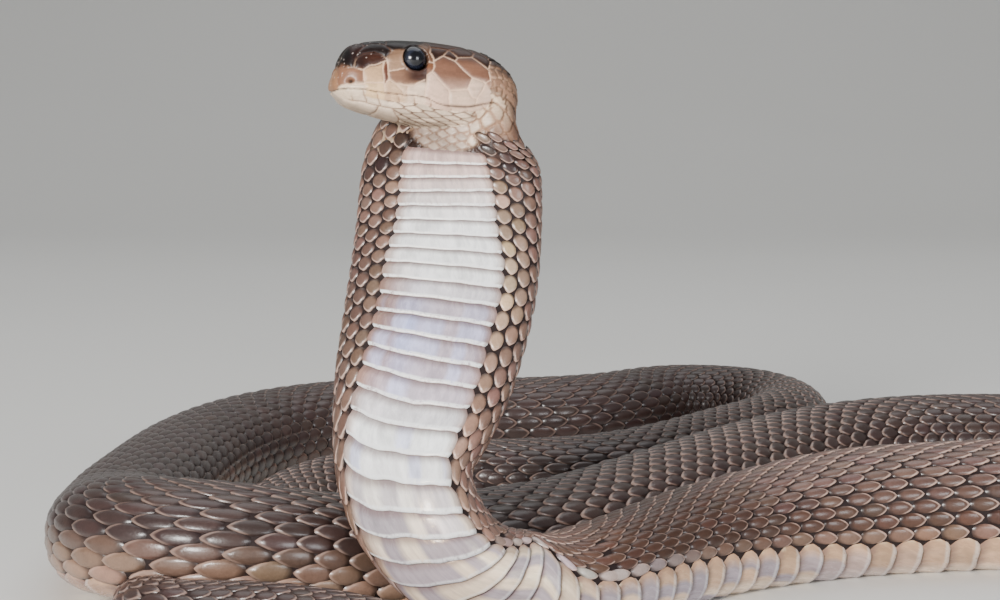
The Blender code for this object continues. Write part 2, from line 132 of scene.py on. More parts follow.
# Seams between the head's shields, the same on both sides: distance back from the snout in
# millimetres, and angle on the cross-section in degrees, 90 on the crown, 0 at the line of the
# mouth and -90 under the chin
SEAMS = {
    "rostral": [(1.0, 90), (0.6, 47), (0.4, 24), (0.7, 1)],
    "internasal_low": [(1.0, 90), (1.6, 39), (2.2, 27), (2.9, 22), (3.6, 19), (4.4, 17)],
    "nasal_back": [(4.4, 17), (4.4, 9), (4.6, 3), (4.7, 0)],
    "nasal_low": [(0.55, 7), (1.5, 4), (3.0, 2.5), (4.6, 3)],
    "prefrontal_arch": [(2.9, 22), (3.0, 30), (3.5, 37), (4.6, 43), (6.3, 44), (7.6, 39),
                        (8.3, 33), (8.6, 28)],
    "prefrontal_low": [(4.4, 17), (5.5, 23), (6.8, 25), (8.0, 29), (8.5, 30)],
    "internasal_back": [(3.0, 30), (3.5, 47), (4.9, 61), (6.3, 69), (8.1, 64), (9.0, 51),
                        (9.4, 44)],
    "preocular_front": [(9.4, 44), (8.4, 34), (8.6, 23), (8.6, 9)],
    "preocular_low": [(8.6, 17), (10.1, 19), (11.2, 21)],
    "cream_low": [(4.6, 4), (7.7, 6)],
    "cream_back": [(8.0, 29), (7.7, 19), (7.8, 7), (7.9, 0)],
    "labial_3": [(8.6, 9), (9.6, 6), (10.8, 2), (11.3, 0)],
    "labial_3_low": [(8.6, 9), (8.1, 5), (7.9, 3)],
    "labial_4_top": [(9.6, 6), (11.9, 5), (12.7, 5), (14.7, 11)],
    "labial_4_front": [(11.9, 5), (11.6, 0)],
    "labial_5_front": [(15.1, 16), (15.0, 8), (14.7, 0)],
    "labial_6_top": [(16.0, 21), (16.9, 16), (18.1, 11), (18.8, 8)],
    "labial_6_back": [(18.8, 8), (18.8, 0)],
    "labial_7_back": [(21.9, 10), (22.7, 4), (23.6, 3)],
    "postocular_middle": [(14.9, 30), (16.4, 32)],
    "postocular_back": [(15.9, 46), (16.4, 38), (16.4, 27), (16.0, 21)],
    "postocular_low": [(15.1, 16), (16.0, 21)],
    "temporal_top": [(16.4, 34), (18.2, 44), (19.5, 57)],
    "temporal_small": [(18.2, 44), (20.1, 38), (20.7, 44), (19.5, 57)],
    "temporal_upper": [(20.7, 44), (23.3, 48), (24.1, 59), (23.5, 76)],
    "temporal_middle": [(20.1, 38), (21.3, 28), (22.8, 20)],
    "temporal_low": [(18.8, 8), (21.9, 10), (22.8, 20)],
    "temporal_second": [(22.8, 20), (25.2, 15)],
    "temporal_rear": [(23.3, 48), (25.9, 31), (26.1, 18), (25.2, 15), (24.6, 8), (23.6, 3),
                      (23.3, 0)],
    "nape_upper": [(25.9, 31), (26.8, 47), (25.9, 62), (25.5, 90)],
    "nape_lower": [(26.1, 18), (27.2, 10), (27.0, 0)],
    "middle_front": [(1.0, 90), (9, 90)],
    "middle_back": [(16.3, 90), (25.5, 90)],
    "internasal_prefrontal": [(4.8, 90), (4.9, 61)],
    "prefrontal_frontal": [(9, 90), (9.3, 79), (8.6, 62)],
    "frontal_side": [(9.3, 79), (12.5, 80), (15, 84), (16.3, 90)],
    "supraocular_back": [(15, 84), (16, 72), (16.3, 57), (15.9, 46)],
    "parietal_outer": [(16.3, 57), (18.0, 58), (19.5, 57), (20.5, 63), (23.5, 76), (25.5, 90)],
}
LOWER_SEAMS = {
    "mental": [(0.5, 0), (0.9, -40), (1.6, -90)],
    "below_labials": [(1.0, -46), (2.7, -47), (4.6, -38), (7.3, -39), (9.7, -39), (13, -36),
                      (15.8, -33), (18.5, -28), (22.3, -25), (25.3, -25), (27.0, -12), (27, 0)],
    "chin_middle": [(1.6, -90), (12.5, -90)],
    "chin_front": [(7.0, -90), (7.4, -62), (7.3, -39)],
    "chin_rear": [(12.5, -90), (11.5, -66), (9.7, -39)],
}
LOWER_LABIALS = [2.0, 4.3, 6.6, 10.2, 12.8, 15.6, 18.9, 21.7, 24.6]

# A spot in each shield and its paint; None is left to the small scales of nape and throat
SHIELDS = [
    (0.2, 20, (148, 120, 98)), (2.0, 62, (46, 33, 33)), (2.6, 11, (138, 109, 92)),
    (2.6, 1, (202, 186, 168)), (6.2, 34, (80, 55, 44)), (6.5, 55, (50, 36, 33)),
    (6.2, 12, (180, 154, 128)), (6.2, 2, (198, 174, 144)), (8.2, 14, (106, 74, 62)),
    (8.2, 1, (180, 156, 134)), (9.9, 28, (152, 129, 110)), (10.2, 12, (136, 110, 94)),
    (9.6, 2, (192, 168, 144)), (11.5, 2, (194, 172, 150)), (13.5, 2, (204, 184, 166)),
    (16.6, 7, (196, 172, 156)), (15.6, 25, (130, 96, 74)), (15.6, 38, (122, 98, 82)),
    (19.0, 24, (126, 99, 85)), (20.5, 3, (198, 178, 160)), (23.0, 9, (194, 174, 158)),
    (19.6, 46, (50, 35, 29)), (22.4, 36, (130, 102, 87)), (22.6, 56, (48, 34, 29)),
    (18.0, 51, (46, 32, 27)), (25.0, 54, (52, 38, 33)), (12.5, 58, (48, 36, 32)),
    (12.5, 87, (47, 35, 31)), (20.0, 80, (48, 36, 31)), (7.0, 80, (40, 30, 28)),
    (3.4, 78, (36, 26, 26)), (9.3, 60, (50, 37, 33)),
    (30.0, 60, None), (30.0, 10, None), (30.0, -40, None), (15.0, -60, None),
    (1.0, -12, (198, 182, 164)), (3.0, -66, (204, 188, 172)), (9.0, -66, (204, 188, 172)),
]

HEAD_LENGTH = 34
HEAD_VOXEL = 0.215       # grain of the head's remeshed skin
SKIN_DEPTH = -0.45       # the skin lies this far inside the solids, the scales fill the rest
SKIN_FROM, SKIN_STEP, SKIN_SIDES = 12.5, 2.6, 36     # tube of skin behind the head's own
LAST_STEP = 2.4          # length of the last plate, and of the scales beside it
# Number of rows of back scales, from an arc length on
BACK_ROWS = [
    (0, 27), (86, 25), (98, 23), (112, 21), (850, 19), (930, 17), (1010, 15), (1060, 13),
    (1110, 11), (1160, 9), (1210, 7),
]
# Pieces that the back scales are joined into, each between two arc lengths
SCALE_PIECES = [
    ("neck_scales", 0, 112), ("front_scales", 112, 333), ("middle_scales", 333, 660),
    ("back_scales", 660, 2000),
]


def spline(knots, values, at):
    """Natural cubic spline through values at the knots, read at other places."""
    flat = values.reshape(len(knots), -1)
    step = np.diff(knots)
    slope = np.diff(flat, axis=0) / step[:, None]
    rows = np.eye(len(knots))
    right = np.zeros_like(flat)
    for i in range(1, len(knots) - 1):
        rows[i, i - 1:i + 2] = step[i - 1], 2 * (step[i - 1] + step[i]), step[i]
        right[i] = 6 * (slope[i] - slope[i - 1])
    bend = np.linalg.solve(rows, right)
    i = np.clip(np.searchsorted(knots, at, side="right") - 1, 0, len(step) - 1)
    h, a, b = step[i][:, None], (at - knots[i])[:, None], (knots[i + 1] - at)[:, None]
    out = (bend[i] * b ** 3 + bend[i + 1] * a ** 3) / (6 * h)
    out += (flat[i] / h - bend[i] * h / 6) * b + (flat[i + 1] / h - bend[i + 1] * h / 6) * a
    return out.reshape((len(at),) + values.shape[1:])


def profile(stations, at):
    """A size given at a few stations, carried smoothly between them without overshoot."""
    x, y = np.asarray(stations, float).T
    slope = np.diff(y) / np.diff(x)
    tangent = np.zeros(len(x))
    same = slope[1:] * slope[:-1] > 0
    tangent[1:-1][same] = 2 * slope[1:][same] * slope[:-1][same] / (slope[1:] + slope[:-1])[same]
    tangent[0], tangent[-1] = slope[0], slope[-1]
    at = np.clip(at, x[0], x[-1])
    i = np.clip(np.searchsorted(x, at, side="right") - 1, 0, len(x) - 2)
    h = x[i + 1] - x[i]
    u = (at - x[i]) / h
    return ((1 + 2 * u) * (1 - u) ** 2 * y[i] + u * (1 - u) ** 2 * h * tangent[i]
            + u ** 2 * (3 - 2 * u) * y[i + 1] + u ** 2 * (u - 1) * h * tangent[i + 1])


def unit(vectors):
    return vectors / np.linalg.norm(vectors, axis=-1, keepdims=True)


def upright(up, along):
    """Unit directions nearest to up that are square to the directions along."""
    up = unit(up)
    return unit(up - (up * along).sum(1, keepdims=True) * along)


def walked(points):
    """Length walked along a row of points, up to each of them."""
    return np.concatenate([[0], np.cumsum(np.linalg.norm(np.diff(points, axis=0), axis=1))])


def read_rows(at, places, rows):
    """Rows of numbers that stand at rising places, read at other places."""
    return np.stack([np.interp(at, places, column) for column in rows.T], -1)


def read_grid(grid, i, j, *layer):
    """A grid read at fractional rows and columns, from the four cells round each place."""
    rows, columns = grid.shape[len(layer):len(layer) + 2]
    i, j = np.clip(i, 0, rows - 1.001), np.clip(j, 0, columns - 1.001)
    i0, j0 = i.astype(int), j.astype(int)
    wide = (...,) + (None,) * (grid.ndim - len(layer) - 2)
    u, v = (i - i0)[wide], (j - j0)[wide]
    low = grid[(*layer, i0, j0)] * (1 - v) + grid[(*layer, i0, j0 + 1)] * v
    high = grid[(*layer, i0 + 1, j0)] * (1 - v) + grid[(*layer, i0 + 1, j0 + 1)] * v
    return low * (1 - u) + high * u


def smooth(low, high, x):
    """0 below low, 1 above high, an S-curve between."""
    u = np.clip((x - low) / (high - low), 0, 1)
    return u * u * (3 - 2 * u)


def span(x, a, b, c, d):
    """0 outside a to d, 1 from b to c, an S-curve between."""
    return smooth(a, b, x) * smooth(d, c, x)


def bell(x, width):
    """1 at 0, falling to both sides, about a third at the width."""
    return np.exp(-(x / width) ** 2)


def bent(x, power):
    """A power of a sine or a cosine that keeps its sign."""
    return np.sign(x) * np.abs(x) ** power


def out_of(across, rise, power):
    """How far out of a superellipse points lie, from their shares across and up: 1 on it."""
    return (across ** power + rise ** power) ** (1 / power)


def blend(a, b, share):
    return a + (b - a) * np.asarray(share)[..., None]


def colour(red, green, blue):
    """Paint that shows as about these 0 to 255 values in this studio's light."""
    return np.minimum(0.9 * (np.array([red, green, blue]) / 214) ** 3.2, 0.93)


def girth(s):
    table = np.array(GIRTH)
    return profile(table[:, :2], s) / 2, profile(table[:, [0, 2]], s) / 2


def lift(s):
    """Raised-cosine lift of the length that lies over the tail."""
    u = np.clip((s - LIFT_AT) / LIFT_REACH, -1, 1)
    return LIFT * (0.5 + 0.5 * np.cos(math.pi * u))


ROUTE_STEP, AIM = 0.5, 1.5      # spacing of the route's points, and reach of its direction


def body_route():
    """Arc length at each point of the route, and centre, left and up there as nine columns."""
    neck, coil = np.array(NECK_ROUTE), np.array(COIL_ROUTE)
    points = np.vstack([neck[:, :3], np.column_stack([coil, np.zeros(len(coil))])])
    turn = np.radians(neck[:, 3])
    back = np.vstack([np.column_stack([np.sin(turn), np.cos(turn), 0 * turn]),
                      np.tile((0.0, 0.0, 1.0), (len(coil), 1))])
    reach = walked(points)
    floor_from = len(neck)
    points[floor_from:, 2] = SINK * girth(reach[floor_from:])[1] + lift(reach[floor_from:])
    reach = walked(points)
    at = np.arange(0, reach[-1], ROUTE_STEP)
    path = spline(reach, points, at)
    s = walked(path)
    resting = at > reach[floor_from]
    path[resting, 2] = (SINK * girth(s)[1] + lift(s))[resting]
    to_head = unit(read_rows(s - AIM, s, path) - read_rows(s + AIM, s, path))
    up = upright(read_rows(at, reach, back), to_head)
    return s, np.hstack([path, np.cross(up, to_head), up])


ROUTE_S, ROUTE = body_route()
BODY_END = ROUTE_S[-1]


def section(s, angle, height):
    """Sideways and upward place on the superellipse cross-section, grown by the height."""
    half_width, half_height = girth(s)
    cosine, sine = np.cos(angle), np.sin(angle)
    power = 2 / np.where(cosine >= 0, BACK_ROUND, BELLY_ROUND)
    y = bent(sine, power) * np.maximum(half_width + height, 0.02)
    z = bent(cosine, power) * np.maximum(half_height + height, 0.02)
    return y, z


def body_point(s, angle, height, floor=0.0):
    """Model point at arc length, angle and height, in arrays of any one shape.

    The cross-section's point is carried by the route's centre, left and up directions, and what
    would pass the floor is pressed flat on it.
    """
    s, angle, height = np.broadcast_arrays(s, angle, height)
    along = read_rows(s, ROUTE_S, ROUTE)
    y, z = section(s, angle, height)
    point = along[..., :3] + y[..., None] * along[..., 3:6] + z[..., None] * along[..., 6:]
    point[..., 2] = np.maximum(point[..., 2], floor)
    return point


def scute_edges():
    """Arc lengths of the belly plates' rear edges, from the throat to the tail tip."""
    edges, at = [], SCUTE_FROM
    while at < BODY_END:
        edges.append(at)
        at += float(profile(SCUTE_LENGTH, at))
    return np.array(edges)


EDGES = scute_edges()


def skew(s, right):
    """Shift along the body at a signed share of the way to the plates' right (+) or left end."""
    return np.where(right > 0, right * profile(SKEW_RIGHT, s), right * profile(SKEW_LEFT, s))


ARC_STEP, ARC_SHARES = 2.0, np.linspace(0, 1.2, 73)


def arc_tables(side):
    """Angle at each share of the way from mid-back to the belly plates, and that way's length.

    The cross-section is walked in small steps whose lengths are summed, so equal shares are
    equal distances on the skin, however flat the hood is.
    """
    s = np.arange(0, BODY_END, ARC_STEP)
    plate_end = np.radians(180 - profile(SCUTE_REACH, s) - side * profile(SCUTE_SHIFT, s))
    angle = np.linspace(0, 1.25, 121) * plate_end[:, None]
    y, z = section(s[:, None] + 0 * angle, angle, SKIN_DEPTH)
    walked = np.cumsum(np.hypot(np.diff(y, axis=1), np.diff(z, axis=1)), axis=1)
    walked = np.hstack([np.zeros((len(s), 1)), walked])
    whole = np.array([np.interp(e, a, w) for e, a, w in zip(plate_end, angle, walked)])
    table = np.array([np.interp(ARC_SHARES * n, w, a) for n, w, a in zip(whole, walked, angle)])
    return table, whole


ARC_TABLES = [arc_tables(side) for side in (1, -1)]


def back_angle(s, share):
    """Angle from mid-back for a signed share of the way to the belly plates' end."""
    table = np.stack([t[0] for t in ARC_TABLES])
    side = (share < 0).astype(int)
    angle = read_grid(table, s / ARC_STEP, np.abs(share) / ARC_SHARES[1], side)
    return np.sign(share) * angle


def back_length(s, share):
    """Way on the skin from mid-back to the belly plates, on the side that the share names."""
    lengths = [np.interp(s, np.arange(len(t[1])) * ARC_STEP, t[1]) for t in ARC_TABLES]
    return np.where(share < 0, lengths[1], lengths[0])


def mesh_object(name, points, faces, materials, tone=None, uv_maps=()):
    """A mesh at the origin from points in millimetres, with point colours and face-corner maps."""
    mesh = bpy.data.meshes.new(name)
    points = np.asarray(points).reshape(-1, 3)
    faces = np.asarray(faces, np.int32)
    size = faces.shape[1]
    mesh.vertices.add(len(points))
    mesh.vertices.foreach_set("co", (points * MM).astype(np.float32).ravel())
    mesh.loops.add(faces.size)
    mesh.loops.foreach_set("vertex_index", faces.ravel())
    mesh.polygons.add(len(faces))
    mesh.polygons.foreach_set("loop_start", np.arange(len(faces), dtype=np.int32) * size)
    mesh.polygons.foreach_set("use_smooth", np.ones(len(faces), bool))
    mesh.update(calc_edges=True)
    if tone is not None:
        tone = np.asarray(tone).reshape(-1, 4)
        layer = mesh.color_attributes.new("Tone", "FLOAT_COLOR", "POINT")
        layer.data.foreach_set("color", tone.astype(np.float32).ravel())
    for label, uv in uv_maps:
        layer = mesh.uv_layers.new(name=label)
        layer.data.foreach_set("uv", uv.reshape(-1, 2)[faces.ravel()].astype(np.float32).ravel())
    for material in materials:
        mesh.materials.append(material)
    obj = bpy.data.objects.new(name, mesh)
    bpy.context.scene.collection.objects.link(obj)
    return obj


def grid_faces(rows, columns, copies=1, closed=False):
    """Quads of many equal grids, each rows by columns of points, round the columns if closed."""
    last = columns if closed else columns - 1
    i, j = np.meshgrid(np.arange(rows - 1), np.arange(last), indexing="ij")
    k = (j + 1) % columns
    quads = np.stack([i * columns + j, i * columns + k, (i + 1) * columns + k,
                      (i + 1) * columns + j], -1).reshape(-1, 4)
    start = np.arange(copies) * rows * columns
    return (start[:, None, None] + quads).reshape(-1, 4)


BANDS = 6


def unwrap(s, around):
    """Place on the flat skin: the tube slit along the belly and cut in six bands of equal length.

    around runs from -1 to 1 round the body. u is the place along the band, v stacks the bands.
    """
    length = BODY_END / BANDS
    band = np.clip(np.floor(s / length), 0, BANDS - 1)
    u = 0.02 + 0.96 * np.clip(s / length - band, 0, 1)
    v = (band + 0.5 + 0.44 * around) / BANDS
    return np.stack([u, v], -1)


PATCH = 0.003


def patches(s, around, x, y):
    """Each scale's own small square of the bake map, at its root's place on the unwrap."""
    centre = unwrap(s, around)[:, None, :]
    return centre + 0.5 * PATCH * np.stack([x, y], -1).reshape(1, -1, 2)


def put(tree, value, socket):
    if isinstance(value, bpy.types.NodeSocket):
        tree.links.new(value, socket)
    else:
        socket.default_value = value


def node(tree, kind, inputs=None, **settings):
    made = tree.nodes.new(kind)
    for key, value in settings.items():
        setattr(made, key, value)
    for key, value in (inputs or {}).items():
        put(tree, value, made.inputs[key])
    return made


def calc(tree, operation, *values):
    made = node(tree, "ShaderNodeMath", operation=operation)
    for k, value in enumerate(values):
        put(tree, value, made.inputs[k])
    return made.outputs[0]


def ramp(tree, value, low, high):
    """0 below low, 1 above high, an S-curve between."""
    return node(tree, "ShaderNodeMapRange", {"Value": value, "From Min": low, "From Max": high},
                interpolation_type="SMOOTHSTEP").outputs["Result"]


def mix(tree, share, a, b, kind="MIX"):
    made = node(tree, "ShaderNodeMix", data_type="RGBA", blend_type=kind)
    put(tree, share, made.inputs[0])
    put(tree, a, made.inputs[6])
    put(tree, b, made.inputs[7])
    return made.outputs[2]


def noise(tree, scale, detail):
    place = node(tree, "ShaderNodeTexCoord").outputs["Object"]
    made = node(tree, "ShaderNodeTexNoise", {"Vector": place, "Scale": scale, "Detail": detail,
                                             "Roughness": 0.55})
    return made.outputs["Fac"]


def paint(*rgb):
    """The same as colour(), in the form that a shader's socket takes."""
    return (*[float(v) for v in colour(*rgb)], 1.0)


def new_material(name, **sockets):
    material = bpy.data.materials.new(name)
    material.use_nodes = True
    tree = material.node_tree
    shader = tree.nodes["Principled BSDF"]
    for key, value in sockets.items():
        shader.inputs[key.replace("_", " ")].default_value = value
    return material, tree, shader


def tone_of(tree):
    made = node(tree, "ShaderNodeVertexColor", layer_name="Tone")
    return made.outputs["Color"], made.outputs["Alpha"]


def shaded(tree, base, shade):
    """A colour multiplied by one number."""
    grey = node(tree, "ShaderNodeCombineColor", {"Red": shade, "Green": shade, "Blue": shade})
    return mix(tree, 1.0, base, grey.outputs[0], "MULTIPLY")


def place_on_scale(tree):
    """The two shares of the way across the scale or plate that a point lies on."""
    place = node(tree, "ShaderNodeUVMap", uv_map="Scale").outputs["UV"]
    parts = node(tree, "ShaderNodeSeparateXYZ", {"Vector": place})
    return parts.outputs["X"], parts.outputs["Y"]


def bump(tree, shader, height, distance, strength):
    made = node(tree, "ShaderNodeBump", {"Height": height, "Distance": distance,
                                         "Strength": strength})
    tree.links.new(made.outputs["Normal"], shader.inputs["Normal"])


def scale_material():
    """Horn of the back scales: a pale rim behind, painted shade in front where it dips under the
    scale before, fine streaks between.
    """
    material, tree, shader = new_material("back_scale_horn", Specular_IOR_Level=0.5,
                                          Coat_Weight=0.2, Coat_Roughness=0.16)
    base, rim = tone_of(tree)
    x, y = (calc(tree, "MULTIPLY_ADD", share, 2.0, -1.0) for share in place_on_scale(tree))
    r = calc(tree, "SQRT", calc(tree, "ADD", calc(tree, "MULTIPLY", x, x),
                                calc(tree, "MULTIPLY", y, y)))
    grain = noise(tree, 2600.0, 4.0)
    mottle = noise(tree, 420.0, 2.0)
    shade = calc(tree, "MULTIPLY_ADD", grain, 0.5, calc(tree, "MULTIPLY_ADD", mottle, 0.5, 0.5))
    tinted = shaded(tree, base, shade)
    behind = calc(tree, "MULTIPLY", ramp(tree, r, 0.66, 0.84), ramp(tree, x, 0.05, 0.6))
    pale = paint(212, 188, 176)
    rimmed = mix(tree, calc(tree, "MULTIPLY", behind, rim), tinted, pale)
    # painted shade on the front of each scale, where it dips under the scale before, and a dark
    # outline at its edge
    before = calc(tree, "MULTIPLY", ramp(tree, r, 0.45, 0.9), ramp(tree, x, 0.15, -0.6))
    edge = ramp(tree, r, 0.86, 0.97)
    shade_and_outline = calc(tree, "MAXIMUM", calc(tree, "MULTIPLY", before, 0.8), edge)
    dark = paint(52, 38, 38)
    tree.links.new(mix(tree, shade_and_outline, rimmed, dark), shader.inputs["Base Color"])
    rough = calc(tree, "MULTIPLY_ADD", grain, 0.28, 0.2)
    tree.links.new(rough, shader.inputs["Roughness"])
    bump(tree, shader, grain, 0.00006, 0.6)
    return material


def plate_material():
    """Horn of the belly plates: pearly, streaked lengthwise, with a bright broken free edge;
    painted shade darkens the front and the underside of that edge.
    """
    material, tree, shader = new_material("belly_plate_horn", Specular_IOR_Level=0.5,
                                          Coat_Weight=0.3, Coat_Roughness=0.16,
                                          Thin_Film_Thickness=430.0, Thin_Film_IOR=1.38)
    base, rim = tone_of(tree)
    u, v = place_on_scale(tree)
    spot = node(tree, "ShaderNodeTexCoord").outputs["Object"]
    high = node(tree, "ShaderNodeSeparateXYZ", {"Vector": spot})
    away = calc(tree, "MULTIPLY", calc(tree, "ADD", high.outputs["Z"], high.outputs["X"]), 260.0)
    lengthwise = node(tree, "ShaderNodeCombineXYZ", {
        "X": calc(tree, "MULTIPLY", v, 17.0), "Y": calc(tree, "MULTIPLY", u, 0.35), "Z": away})
    streak = node(tree, "ShaderNodeTexNoise", {"Vector": lengthwise.outputs[0], "Scale": 1.0,
                                               "Detail": 4.0, "Roughness": 0.65}).outputs["Fac"]
    grain = noise(tree, 1900.0, 4.0)
    cloud = noise(tree, 150.0, 3.0)
    shade = calc(tree, "MULTIPLY_ADD", streak, 1.0, calc(tree, "MULTIPLY_ADD", cloud, 0.4, 0.28))
    tinted = shaded(tree, base, shade)
    # painted shade on the front of each plate, where it lies under the free edge of the plate
    # before
    shaded_front = mix(tree, calc(tree, "MULTIPLY", ramp(tree, u, 0.50, 0.18), 0.7), tinted,
               paint(128, 108, 106))
    broken = ramp(tree, noise(tree, 1500.0, 3.0), 0.22, 0.55)
    edge = calc(tree, "MULTIPLY", ramp(tree, u, 0.80, 0.88), broken)
    cream = paint(246, 240, 230)
    lit = mix(tree, calc(tree, "MULTIPLY", edge, rim), shaded_front, cream)
    # painted shade: a thin dark line where the free edge turns down
    under = ramp(tree, u, 0.975, 1.0)
    tree.links.new(mix(tree, under, lit, paint(140, 118, 108)),
                   shader.inputs["Base Color"])
    tree.links.new(calc(tree, "MULTIPLY_ADD", streak, 0.34, 0.10), shader.inputs["Roughness"])
    bump(tree, shader, calc(tree, "MULTIPLY_ADD", streak, 3.0, grain), 0.00005, 0.8)
    return material


def skin_material():
    """Skin of the head and between the scales: coloured shields with a fine, satin grain."""
    material, tree, shader = new_material("skin", Specular_IOR_Level=0.32, Coat_Weight=0.06,
                                          Coat_Roughness=0.2)
    base, horn = tone_of(tree)
    grain = noise(tree, 2400.0, 4.0)
    cloud = noise(tree, 500.0, 3.0)
    shade = calc(tree, "MULTIPLY_ADD", grain, 0.30, calc(tree, "MULTIPLY_ADD", cloud, 0.36, 0.68))
    tinted = shaded(tree, base, shade)
    tree.links.new(tinted, shader.inputs["Base Color"])
    rough = calc(tree, "MULTIPLY_ADD", grain, 0.3, calc(tree, "MULTIPLY_ADD", horn, -0.34, 0.56))
    tree.links.new(rough, shader.inputs["Roughness"])
    bump(tree, shader, grain, 0.00005, 0.6)
    return material


def eye_material():
    """Eye behind its clear scale: slate iris, round black pupil, wet gloss."""
    material, tree, shader = new_material("eye_spectacle", Specular_IOR_Level=0.4, Roughness=0.22,
                                          Coat_Weight=0.5, Coat_Roughness=0.04)
    base, _ = tone_of(tree)
    tree.links.new(base, shader.inputs["Base Color"])
    return material


def floor_material():
    material, tree, shader = new_material("pale_floor", Roughness=0.7, Specular_IOR_Level=0.2)
    cloud = noise(tree, 3.0, 2.0)
    tree.links.new(mix(tree, cloud, paint(203, 202, 199), paint(208, 207, 205)),
                   shader.inputs["Base Color"])
    return material


SCALE_HORN, PLATE_HORN, SKIN = scale_material(), plate_material(), skin_material()


def body_tone(s, around):
    """Colour of the body at arc length s and share around (0 mid-back, 1 belly plates' end).

    Back and flanks go from warm grey-brown on the hood over olive-bronze on the front of the
    to dark brown behind; rows near the belly are paler, and a painted highlight lightens the front
    coil's upper side.
    """
    hood = colour(128, 107, 98)
    bronze = colour(99, 76, 65)
    brown = colour(82, 68, 65)
    tan = colour(162, 138, 122)
    tone = blend(hood, bronze, smooth(80, 120, s))
    tone = blend(tone, brown, smooth(215, 330, s))
    low = np.abs(around)
    tone = blend(tone, tan, 0.5 * smooth(0.84, 1.0, low) * smooth(720, 560, s))
    tone = blend(tone, tan, 0.45 * smooth(0.6, 0.88, low) * span(s, 440, 470, 600, 640))
    tone = blend(tone, colour(190, 172, 148),
                 0.6 * smooth(0.84, 0.92, around) * span(s, 18, 24, 40, 50))
    tone = blend(tone, colour(184, 173, 171),
                 0.6 * smooth(0.86, 0.94, low) * span(s, 82, 92, 118, 140))
    left_hood = (around < 0) * span(s, 22, 34, 70, 84)
    tone = tone * (1 - 0.4 * left_hood)[..., None]
    tone = tone * (1 - 0.34 * span(s, 112, 126, 150, 168))[..., None]
    # painted highlight: the front coil's upper side is made lighter and greyer, where the light
    # catches it
    flank_highlight = span(s, 140, 165, 205, 240) * smooth(0.85, 0.4, low)
    tone = blend(tone, colour(126, 108, 102), 0.6 * flank_highlight)
    nape = smooth(0.5, 0.1, low) * span(s, 9, 14, 40, 60)
    tone = blend(tone, colour(120, 96, 88), 0.5 * nape)
    blotch = bell(low - 0.98 + 0.020 * (s - 9), 0.11) * span(s, 7, 9, 15.5, 18)
    blotch = np.maximum(blotch, bell(s - 25, 1.8) * smooth(0.88, 0.94, low))
    return blend(tone, colour(58, 42, 42), 0.92 * blotch)


def body_skin():
    """Dark skin between the scales: one tube of cross-sections at equal steps.

    Point = cross-section at the angle, the skin's depth inside the solid; the tube starts deeper,
    inside the head's own skin, and narrows to a point at the tip of the tail.
    """
    rows = int(BODY_END / SKIN_STEP)
    s = np.linspace(SKIN_FROM, BODY_END - 0.3, rows)[:, None]
    angle = np.linspace(0, 2 * math.pi, SKIN_SIDES, endpoint=False)[None, :]
    deeper = 0.4 * smooth(SKIN_FROM + 2, SKIN_FROM, s)
    height = np.where(s > BODY_END - 1, -9.0, SKIN_DEPTH - deeper)
    points = body_point(s, angle, height, 0.12)
    tone = np.broadcast_to([*colour(58, 44, 42), 0], (rows, SKIN_SIDES, 4))
    return points, grid_faces(rows, SKIN_SIDES, closed=True), tone


